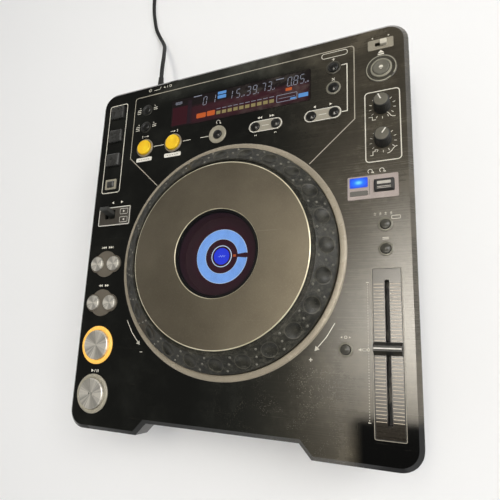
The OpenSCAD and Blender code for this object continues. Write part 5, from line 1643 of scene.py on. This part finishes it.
def ribTree():
    # ribs pressed into the side of a knob
    tree = PartTree("knobRibs")
    count = tree.given("Ribs")
    depth = tree.given("Rib Depth")
    centre = tree.given("Centre", "NodeSocketVector")
    place = tree.add("GeometryNodeInputPosition")
    away = tree.add("ShaderNodeVectorMath", {"operation": "SUBTRACT"}, {0: place, 1: centre})
    x, y = tree.split(away)[:2]
    away = tree.maths("MAXIMUM", (x * x + y * y) ** 0.5, 1e-6)
    wave = tree.maths("COSINE", tree.maths("ARCTAN2", y, x) * count)
    onSide = tree.add("GeometryNodeInputNamedAttribute", {"data_type": "FLOAT"}, {"Name": "share"})
    press = (wave * wave * wave * 0.5 - 0.5) * depth * onSide
    offset = tree.joined(x / away * press, y / away * press, 0.0)
    pushed = tree.add("GeometryNodeSetPosition", None, {"Geometry": tree.geometry(), "Offset": offset})
    return tree.finished(pushed)


sideRibs = ribTree()


def makeKnob(node, name, turn, values):
    low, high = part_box(node)
    centre = middle(node)
    radius = halfWidth(node)
    foot = panelTop + values["lift"]
    top = high.z
    body = bodyOf[node]
    steps = values["sideSteps"]
    sideHeight = top - foot - values["sideFrom"] - 1.8 * mm
    profile = [(0.0, low.z), (values["shaft"], low.z), (values["shaft"], foot), (radius, foot),
               (radius, foot + values["skirt"])]
    side = [(radius - 0.15 * mm - 0.35 * mm * i / steps, foot + values["sideFrom"] + sideHeight * i / steps)
            for i in range(steps + 1)]
    crown = [(radius - 0.9 * mm, top - 0.9 * mm), (radius - 1.2 * mm, top - 0.25 * mm)]

    def onSide(away, height):
        return 1.0 if side[1][1] - 1e-6 < height < side[-2][1] + 1e-6 else 0.0

    work = bmesh.new()
    lathe(work, centre, profile + side + crown + [(0.0, top - 0.25 * mm)], values["columns"], share=onSide)
    skirt = newPiece(name, work, "blackKey", body, slotOf[node])
    sideRibs.bake(skirt, {"Ribs": float(values["ribs"]), "Rib Depth": values["ribDepth"],
                          "Centre": (centre.x, centre.y, 0.0), "Finish": finishes["blackKey"]})
    placed(skirt, body, slotOf[node], [node])
    work = bmesh.new()
    face = top - values["capDrop"]
    cap = [(0.0, top - 0.6 * mm), (radius - 1.35 * mm, top - 0.6 * mm), (radius - 1.4 * mm, top - 0.15 * mm),
           (radius - 1.7 * mm, face), (0.0, face)]
    lathe(work, centre, softened(cap, 0.1 * mm), 72)
    newPiece(name + "Top", work, "knobTop", body, slotOf[node])
    away = Vector((-math.sin(math.radians(turn)), math.cos(math.radians(turn))))
    sheet = Marks(face, 0.03)
    hub = centre.xy / mm
    sheet.line([tuple(hub + away * 0.3), tuple(hub + away * (radius / mm - 1.45))], 1.0)
    sheet.made(name + "Pointer", "tag", body, slotOf[node])


makeKnob("touch_knob", "touchKnob", knobValues["touchTurn"], knobValues)
makeKnob("release_knob", "releaseKnob", knobValues["releaseTurn"], knobValues)
print("knobs ready")


# printing on the panel

printValues = {
    "frame": 0.8,
    "link": 0.6,
    "sign": 0.45,
    "hotFrame": (106.0, 23.3, 103.2, 2.6),            # middle along y, width, depth and corner
    "knobFrame": (80.1, 27.2, 62.5, 2.8),
    "noteFrame": ((99.4, 156.4), 22.4, 4.9, 2.2),
    "windowSide": (77.8, 54.9),
    "windowFoot": (-115.0, 116.2, 90.1),
    "windowTop": (-112.0, 113.2, 157.5, 3.0),
    "links": ((-86.4, -74.0), (-51.6, -42.5), (-31.5, -22.5)),
    "memoryLink": (105.5, 110.2),
    "leverPlate": (-128.3, 27.3),
    "powerSign": (-97.0, 166.6),
    "tagDrop": -12.9,                                 # from a loop key's middle to its tag
}
arrowValues = {
    "paths": (([(-99.7, -81.0), (-92.6, -92.8), (-83.6, -103.0)], -49),
              ([(99.3, -81.7), (92.8, -92.6), (84.4, -102.6)], -131)),
    "reach": 1.4,
    "size": 3.6,
    "bars": (((-80.5, -110.5), 2.6, 0.6), ((80.5, -110.5), 2.8, 0.6), ((80.5, -110.5), 0.6, 2.8)),
}


def outlines(sheet, values):
    place, *size = values["hotFrame"]
    sheet.line(roundedOutline((at("hot_cue_2")[0] - 0.2, place), *size), values["frame"], True)
    side, front = values["windowSide"]
    left, right, foot = values["windowFoot"]
    topLeft, topRight, top, bend = values["windowTop"]
    corner = arc((topLeft, top), bend, 180, 90, 5) + arc((topRight, top), bend, 90, 0, 5)
    around = [(-side, front), (left, foot)] + corner + [(right, foot), (side, front)]
    sheet.line(around, values["frame"], finish=1)
    place, *size = values["knobFrame"]
    sheet.line(roundedOutline((at("touch_knob")[0], place), *size), values["frame"], True)
    loopY = at("loop_in_key")[1]
    for start, end in values["links"]:
        sheet.line([(start, loopY), (end, loopY)], values["link"])
    start, end = values["memoryLink"]
    behind, front = at("memory_key")[1] + 1, loopY - 0.4
    sheet.line([(start, behind), (end, behind), (end, front), (start, front)], values["frame"])
    sheet.line(roundedOutline(*values["noteFrame"]), 0.5, True)


def dialArrows(sheet, values):
    reach = values["reach"]
    for path, turn in values["paths"]:
        sheet.line(path, 0.6)
        x, y = path[-1]
        tip = (x + reach * math.cos(math.radians(turn)), y + reach * math.sin(math.radians(turn)))
        sheet.arrow(tip, turn, values["size"])
    for centre, width, depth in values["bars"]:
        sheet.bar(centre, width, depth)


def between(pair, rise=0.0):
    # half way between two keys, and some way behind them
    back, forward = at(f"{pair}_back_key"), at(f"{pair}_forward_key")
    return (back[0] + forward[0]) / 2, back[1] + rise


def ways(sheet, centre, size, spread, bars=False, twice=False):
    # arrows to both sides
    x, y = centre
    for side in (-1, 1):
        turn = 0 if side > 0 else 180
        sheet.arrow((x + side * (spread + size), y), turn, size)
        if twice:
            sheet.arrow((x + side * spread, y), turn, size)
        if bars:
            sheet.bar((x + side * (spread + size + 0.5), y), 0.45, size)


def playSigns(sheet, values):
    for pair, bars in (("track", True), ("search", False)):
        ways(sheet, between(pair, 17.6), 2.5, 4.0, bars, True)
    x, y = at("play_key", 0, 21.6)
    sheet.arrow((x - 1.4, y), 0, 2.8)
    sheet.line([(x - 0.6, y - 1.4), (x + 1.0, y + 1.4)], 0.5)
    for dx in (2.6, 4.2):
        sheet.bar((x + dx, y), 0.8, 2.6)
    leverX, leverY = values["leverPlate"]
    ways(sheet, (leverX + 2.0, leverY + 15.3), 2.6, 4.6)
    for pair in ("wave", "call"):
        ways(sheet, between(pair, 9.0), 2.3, 6.0, False, pair == "wave")
    ways(sheet, at("wave_back_key", 9.95, -8.4), 1.3, 8.6, True)


def loopSigns(sheet, values):
    thin = values["sign"]
    for node, lip, back, start in (("loop_in_key", -3.6, -4.6, -2.4), ("loop_out_key", 3.2, 4.2, -4.4)):
        x, y = at(node, 0, 13.2)
        sheet.line([(x + lip, y + 1.1), (x + back, y + 1.1), (x + back, y - 1.1), (x + lip, y - 1.1)], thin)
        sheet.line([(x + start, y), (x + start + 4.6, y)], thin)
        sheet.arrow((x + start + 6.2, y), 0, 1.9)
    x, y = at("reloop_key", 0, 13.4)
    sheet.line(arc((x, y), 1.9, -40, 240, 16), thin)
    sheet.arrow((x + 1.3, y - 1.9), 200, 1.7)
    # crosses, the first upright and the second leaning
    for node, strokes in (("memory_key", ((1.3, 0.0), (0.0, 1.3))),
                          ("delete_key", ((1.2, 1.2), (1.2, -1.2)))):
        x, y = at(node, 0, 8.4)
        for dx, dy in strokes:
            sheet.line([(x - dx, y - dy), (x + dx, y + dy)], 0.5)


def modeSigns(sheet, values):
    for node in ("time_mode_key", "display_mode_key"):
        x, y = at(node)
        for side in (-1, 1):
            sheet.arrow((x + side * 9.2, y + 5.0), 90, 1.3)
            for row in (2.0, 0.0, -2.0)[:3 if side < 0 else 2]:
                sheet.bar((x + side * 10.4, y + row - 0.2), 4.6, 0.7)
    ejectMarks(sheet, at("eject_key", 0, 15.2))
    ways(sheet, at("eject_lock", -2.5, 7.4), 1.5, 6.0)
    x, y = at("jog_mode_key", -6.0, 13.2)
    for side in (-1, 1):
        sheet.line(arc((x + side * 4.5, y), 1.7, -60, 240, 14), values["sign"])
        sheet.arrow((x + side * 4.5 + 1.4, y - 1.7), 205, 1.5)


def tempoSigns(sheet):
    x, y = at("tempo_range_key", 0, 8.7)
    for i in range(4):
        for rise, width, depth in ((0.6, 1.7, 0.35), (0.6, 0.35, 1.7), (-0.7, 1.7, 0.35)):
            sheet.bar((x - 7.5 + 4.0 * i, y + rise), width, depth)
    sheet.line(roundedOutline((x + 8.0, y - 3.4), 6.4, 2.6, 0.6), 0.4, True)
    x, y = at("master_tempo_key", 0, 8.4)
    for rise in (0.6, -0.6):
        sheet.bar((x, y + rise), 4.6, 0.5)
    hub = at("tempo_reset_key", 0, 9.4)
    ways(sheet, hub, 1.4, 2.6)
    sheet.ring(hub, 1.0, 0.4, 0, 16)
    x, y = at("tempo_reset_key", 9.2, 0.4)
    sheet.arrow((x, y), 180, 2.2)
    sheet.line([(x + 2.0, y), (x + 2.6, y)], 0.5)
    sheet.line(roundedOutline((x + 4.6, y), 3.2, 1.5, 0.5), 0.35, True)
    sheet.line(roundedOutline((x + 7.4, y), 1.5, 2.1, 0.7), 0.4, True)


def powerSigns(sheet, values):
    # at the rear edge
    x, y = values["powerSign"]
    thin = values["sign"]
    sheet.line(arc((x, y), 1.5, 120, 420, 16), thin)
    sheet.line([(x, y + 0.4), (x, y + 2.0)], thin)
    sheet.line([(x + 5.0, y - 1.2), (x + 12.0, y - 1.2), (x + 13.4, y + 1.4)], thin)
    sheet.arrow((x + 18.0, y + 1.2), 90, 2.0)
    sheet.bar((x + 21.6, y), 0.6, 2.2)
    sheet.ring((x + 25.4, y), 1.2, thin, 0, 16)


knobPaths = (
    (127.4, 85.6, [(0, 3.0), (2.9, 3.0), (2.9, 0.2), (5.7, 0.2)]),
    (128.0, 54.4, [(0, 0), (2.2, 0), (2.2, 3.2), (3.9, 3.2), (3.9, 4.6), (6.0, 4.6)]),
    (140.8, 86.2, [(0, 5.2), (1.6, 4.6), (2.8, 3.0), (4.0, 1.2), (5.6, 0.4), (7.4, 0.2)]),
    (141.2, 54.8, [(0, 0), (1.8, 0.4), (3.4, 1.8), (4.8, 3.8), (6.2, 5.0), (7.6, 5.4)]),
)


def knobSigns(sheet, paths):
    for x, y, path in paths:
        sheet.line([(x + dx, y + dy) for dx, dy in path], 0.5)


def makePrinting(values):
    sheet = Marks(panelTop)
    outlines(sheet, values)
    dialArrows(sheet, arrowValues)
    playSigns(sheet, values)
    loopSigns(sheet, values)
    modeSigns(sheet, values)
    tempoSigns(sheet)
    powerSigns(sheet, values)
    knobSigns(sheet, knobPaths)
    sheet.made("panelPrinting", ["print", "fineLine"], "cabinet", "panel_gloss")


def makeLoopTags(values):
    # a plain tag under each loop key with a row of dashes on it
    tags = [at(node, 0, values["tagDrop"]) for node in ("loop_in_key", "loop_out_key")]
    sheet = Marks(panelTop)
    for tag in tags:
        sheet.bar(tag, 19.4, 4.4, 0, 1.2)
    sheet.made("loopTags", "tag", "cabinet", "panel_gloss")
    sheet = Marks(panelTop, 0.05)
    for x, y in tags:
        for i in range(5):
            sheet.bar((x - 5.6 + 2.8 * i, y), 1.7, 0.6)
    sheet.made("loopTagSigns", "greyLamp", "cabinet", "panel_gloss")


def makePlateSigns(values):
    # lines on the raised plates
    sheet = Marks(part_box("control_plates")[1].z)
    leverX, leverY = values["leverPlate"]
    sheet.line(roundedOutline((leverX, leverY), 39.2, 19.2, 1.2), 0.8, True, 1)
    sheet.bar((127.1, at("jog_mode_key")[1] - 0.4), 0.4, 13.0)
    signX = leverX + 12.2
    for side in (-1, 1):
        signY = leverY + side * 4.4
        sheet.line(roundedOutline((signX, signY), 9.6, 5.6, 0.8), 0.4, True, 1)
        sheet.arrow((signX + side * 1.2, signY), 0 if side > 0 else 180, 2.4, 1)
    sheet.made("plateSigns", ["greyLamp", "tag"], "cabinet", "warm_trim")


def makePillLines():
    # round each pair of small keys, with a dash between the two
    sheet = Marks(panelTop + 0.9 * mm)
    for pair in ("wave", "call"):
        x, y = between(pair)
        sheet.line([(x - 3.4, y), (x + 3.4, y)], 0.5)
        sheet.line(roundedOutline((x, y), 31.4, 10.4, 5.15, 10), 0.6, True)
    sheet.made("pillLines", "tag", "cabinet", "bezel_grey")


def makeJogModeSigns():
    node = "jog_mode_key"
    x, y = at(node)
    sheet = Marks(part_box(node)[1].z)
    for rise, depth, corner in ((1.6, 2.4, 0.4), (-1.8, 0.5, 0.0), (-3.0, 0.4, 0.0)):
        sheet.bar((x, y + rise), 10.2, depth, 0, corner)
    sheet.made("jogModeSigns", "keyMark", bodyOf[node], slotOf[node])


makePrinting(printValues)
makeLoopTags(printValues)
makePlateSigns(printValues)
makePillLines()
makeJogModeSigns()
print("printing ready")


# ticks and dots

tickValues = {
    "pitch": 2.5 * mm,
    "count": 41,
    "aside": 5.9 * mm,
    "long": 7.4 * mm,
    "line": 0.42 * mm,
    "thin": 0.05 * mm,
    "dotAside": 14.1,
    "dotPitch": 2.0 * mm,
    "dots": 51,
    "dot": 0.5 * mm,
    "endOut": 1.6,
    "borders": ((21.5, 125.0, 1.2, 0.35, 0), (20.3, 123.8, 1.0, 0.5, 1)),
}
scaleValues = {"radius": 9.6 * mm, "first": -225.0, "step": 27.0, "count": 11, "long": 2.0 * mm,
               "line": 0.45 * mm}


def makeSliderTicks(values):
    x, y = middle("slider_plate").xy
    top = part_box("slider_plate")[1].z
    thin = values["thin"]
    span = values["pitch"] * (values["count"] - 1)
    start = y - span / 2
    for side, name in ((-1, "sliderTicksLeft"), (1, "sliderTicksRight")):
        row = {"Start": (x + side * values["aside"], start, top), "Step": (0.0, values["pitch"], 0.0),
               "Count": values["count"], "Size": (values["long"], values["line"], thin)}
        blocks(blockRow, name, "cabinet", "warm_trim", row, "tickLine")
    dotX = x / mm - values["dotAside"]
    row = {"Start": (dotX * mm, start, panelTop), "Step": (0.0, values["dotPitch"], 0.0),
           "Count": values["dots"], "Size": (values["dot"], values["dot"], thin)}
    blocks(blockRow, "sliderDots", "cabinet", "panel_gloss", row, "print")
    sheet = Marks(panelTop)
    for end, out in ((start, -values["endOut"]), (start + span, values["endOut"])):
        sheet.bar((dotX, end / mm + out), 2.2, 0.5)
    sheet.made("sliderEnds", "print", "cabinet", "panel_gloss")
    sheet = Marks(top)
    for width, depth, corner, line, finish in values["borders"]:
        sheet.line(roundedOutline(at("slider_plate"), width, depth, corner), line, True, finish)
    sheet.made("sliderBorder", ["fineLine", "darkPrint"], "cabinet", "warm_trim")


def makeKnobScale(node, name, values):
    knob = middle(node)
    row = {"Centre": (knob.x, knob.y, panelTop), "Radius": values["radius"],
           "First": math.radians(values["first"]), "Step": math.radians(values["step"]),
           "Count": values["count"], "Size": (values["long"], values["line"], tickValues["thin"])}
    blocks(blockArc, name, "cabinet", "panel_gloss", row, "print")


makeSliderTicks(tickValues)
makeKnobScale("touch_knob", "touchTicks", scaleValues)
makeKnobScale("release_knob", "releaseTicks", scaleValues)
print("ticks ready")


# figures in the display window

windowValues = {
    "tall": 8.8,
    "wide": 3.6,
    "line": 0.6,
    "lean": 0.11,
    "foot": 134.9,
    "figures": (("0", -31.2), ("1", -21.6), ("1", -3.2), ("5", 5.0), ("3", 15.9), ("9", 22.2), ("7", 30.9),
                ("3", 36.9), ("0", 56.4), ("8", 62.2), ("5", 68.2)),
    "dashes": ((-37.6, 146.4, 9.2), (49.4, 144.2, 7.6)),
    "dots": (11.2, 28.0, 42.6, 60.9, 73.8),
    "strokes": (12.6, 13.9, 44.0, 75.2, 76.2),
    "levels": (-13.2, 6.1, 10),                       # first place, step and count of the level bars
    "levelLine": 127.4,
    "levelMiddle": 123.2,
    "levelSize": (4.5, 3.5),
    "tempoFrame": (56.2, 123.9),
    "trackFrame": (-59.5, 143.1),
    "blueTags": ((-10.3, 144.3, 9.2, 3.0, 0.6), (-10.3, 140.0, 9.2, 3.6, 0.6), (71.6, 122.9, 9.0, 4.0, 0.5),
                 (62.2, 121.8, 5.4, 1.7, 0.3)),
    "orangeTags": ((-32.4, 123.9, 10.6, 5.2, 1.0), (-21.5, 124.2, 8.8, 5.4, 1.0),
                   (58.0, 131.8, 6.0, 3.0, 0.5)),
}
# the strokes of each figure, lettered clockwise from the top one, with g across the middle
segmentsOf = {"0": "abcdef", "1": "bc", "3": "abcdg", "5": "acdfg", "7": "abc", "8": "abcdefg", "9": "abcdfg"}


def drawFigure(sheet, sign, left, values):
    tall, wide, gap = values["tall"], values["wide"], values["line"] * 0.75
    half = tall / 2
    ends = {
        "a": ((gap, tall), (wide - gap, tall)), "b": ((wide, half + gap), (wide, tall - gap)),
        "c": ((wide, gap), (wide, half - gap)), "d": ((gap, 0), (wide - gap, 0)),
        "e": ((0, gap), (0, half - gap)), "f": ((0, half + gap), (0, tall - gap)),
        "g": ((gap, half), (wide - gap, half)),
    }
    for part in segmentsOf[sign]:
        path = [(left + x + y * values["lean"], values["foot"] + y) for x, y in ends[part]]
        sheet.line(path, values["line"])


def makeWindowFigures(values):
    sheet = Marks(panelTop, 0.05)
    for sign, left in values["figures"]:
        drawFigure(sheet, sign, left, values)
    foot = values["foot"]
    for x, y, width in values["dashes"]:
        sheet.bar((x, y), width, 0.9)
    for x in values["dots"]:
        sheet.disc((x, foot + 0.1), 0.55, 0, 10)
    for x in values["strokes"]:
        sheet.bar((x, foot + 0.8), 0.5, 1.6)
    start, step, count = values["levels"]
    width, depth = values["levelSize"]
    for i in range(count):
        sheet.bar((start + step * i, values["levelLine"]), width, 0.6)
    sheet.line(roundedOutline(values["tempoFrame"], 19.2, 7.0, 0.8), 0.55, True)
    sheet.bar(values["tempoFrame"], 15.6, 0.4)
    x, y = values["trackFrame"]
    sheet.line(roundedOutline((x, y), 7.4, 2.4, 0.6), 0.4, True)
    for i in range(-1, 2):
        sheet.ring((x + 2.2 * i, y), 0.7, 0.35, 0, 10)
    sheet.made("windowFigures", "segments", "cabinet", "window_tint")
    for name, tags, finish in (("windowTags", "blueTags", "blueTag"),
                               ("windowWarnings", "orangeTags", "orange")):
        sheet = Marks(panelTop, 0.05)
        for x, y, wide, deep, corner in values[tags]:
            sheet.bar((x, y), wide, deep, 0, corner)
        sheet.made(name, finish, "cabinet", "window_tint")
    row = {"Start": (start * mm, values["levelMiddle"] * mm, panelTop), "Step": (step * mm, 0.0, 0.0),
           "Count": count, "Size": (width * mm, depth * mm, 0.08 * mm)}
    blocks(blockRow, "levelBars", "cabinet", "window_tint", row, "bars")


makeWindowFigures(windowValues)
print("window figures ready")


# parts that keep their own shape

plainFinishes = {
    "bottom_chassis": "tray",
    "rubber_feet": "rubber",
    "case_screws": "screw",
    "jog_base": "pan",
    "panel_boards": "panelBoard",
    "inner_boards": "innerBoard",
    "mech_frame": "mech",
    "rear_sockets": "socket",
    "spindle_hub": "hub",
    "pickup_sled": "hub",
    "loading_roller": "rubber",
}
for node, finish in plainFinishes.items():
    repaint(node, finish)
print("inner parts ready")
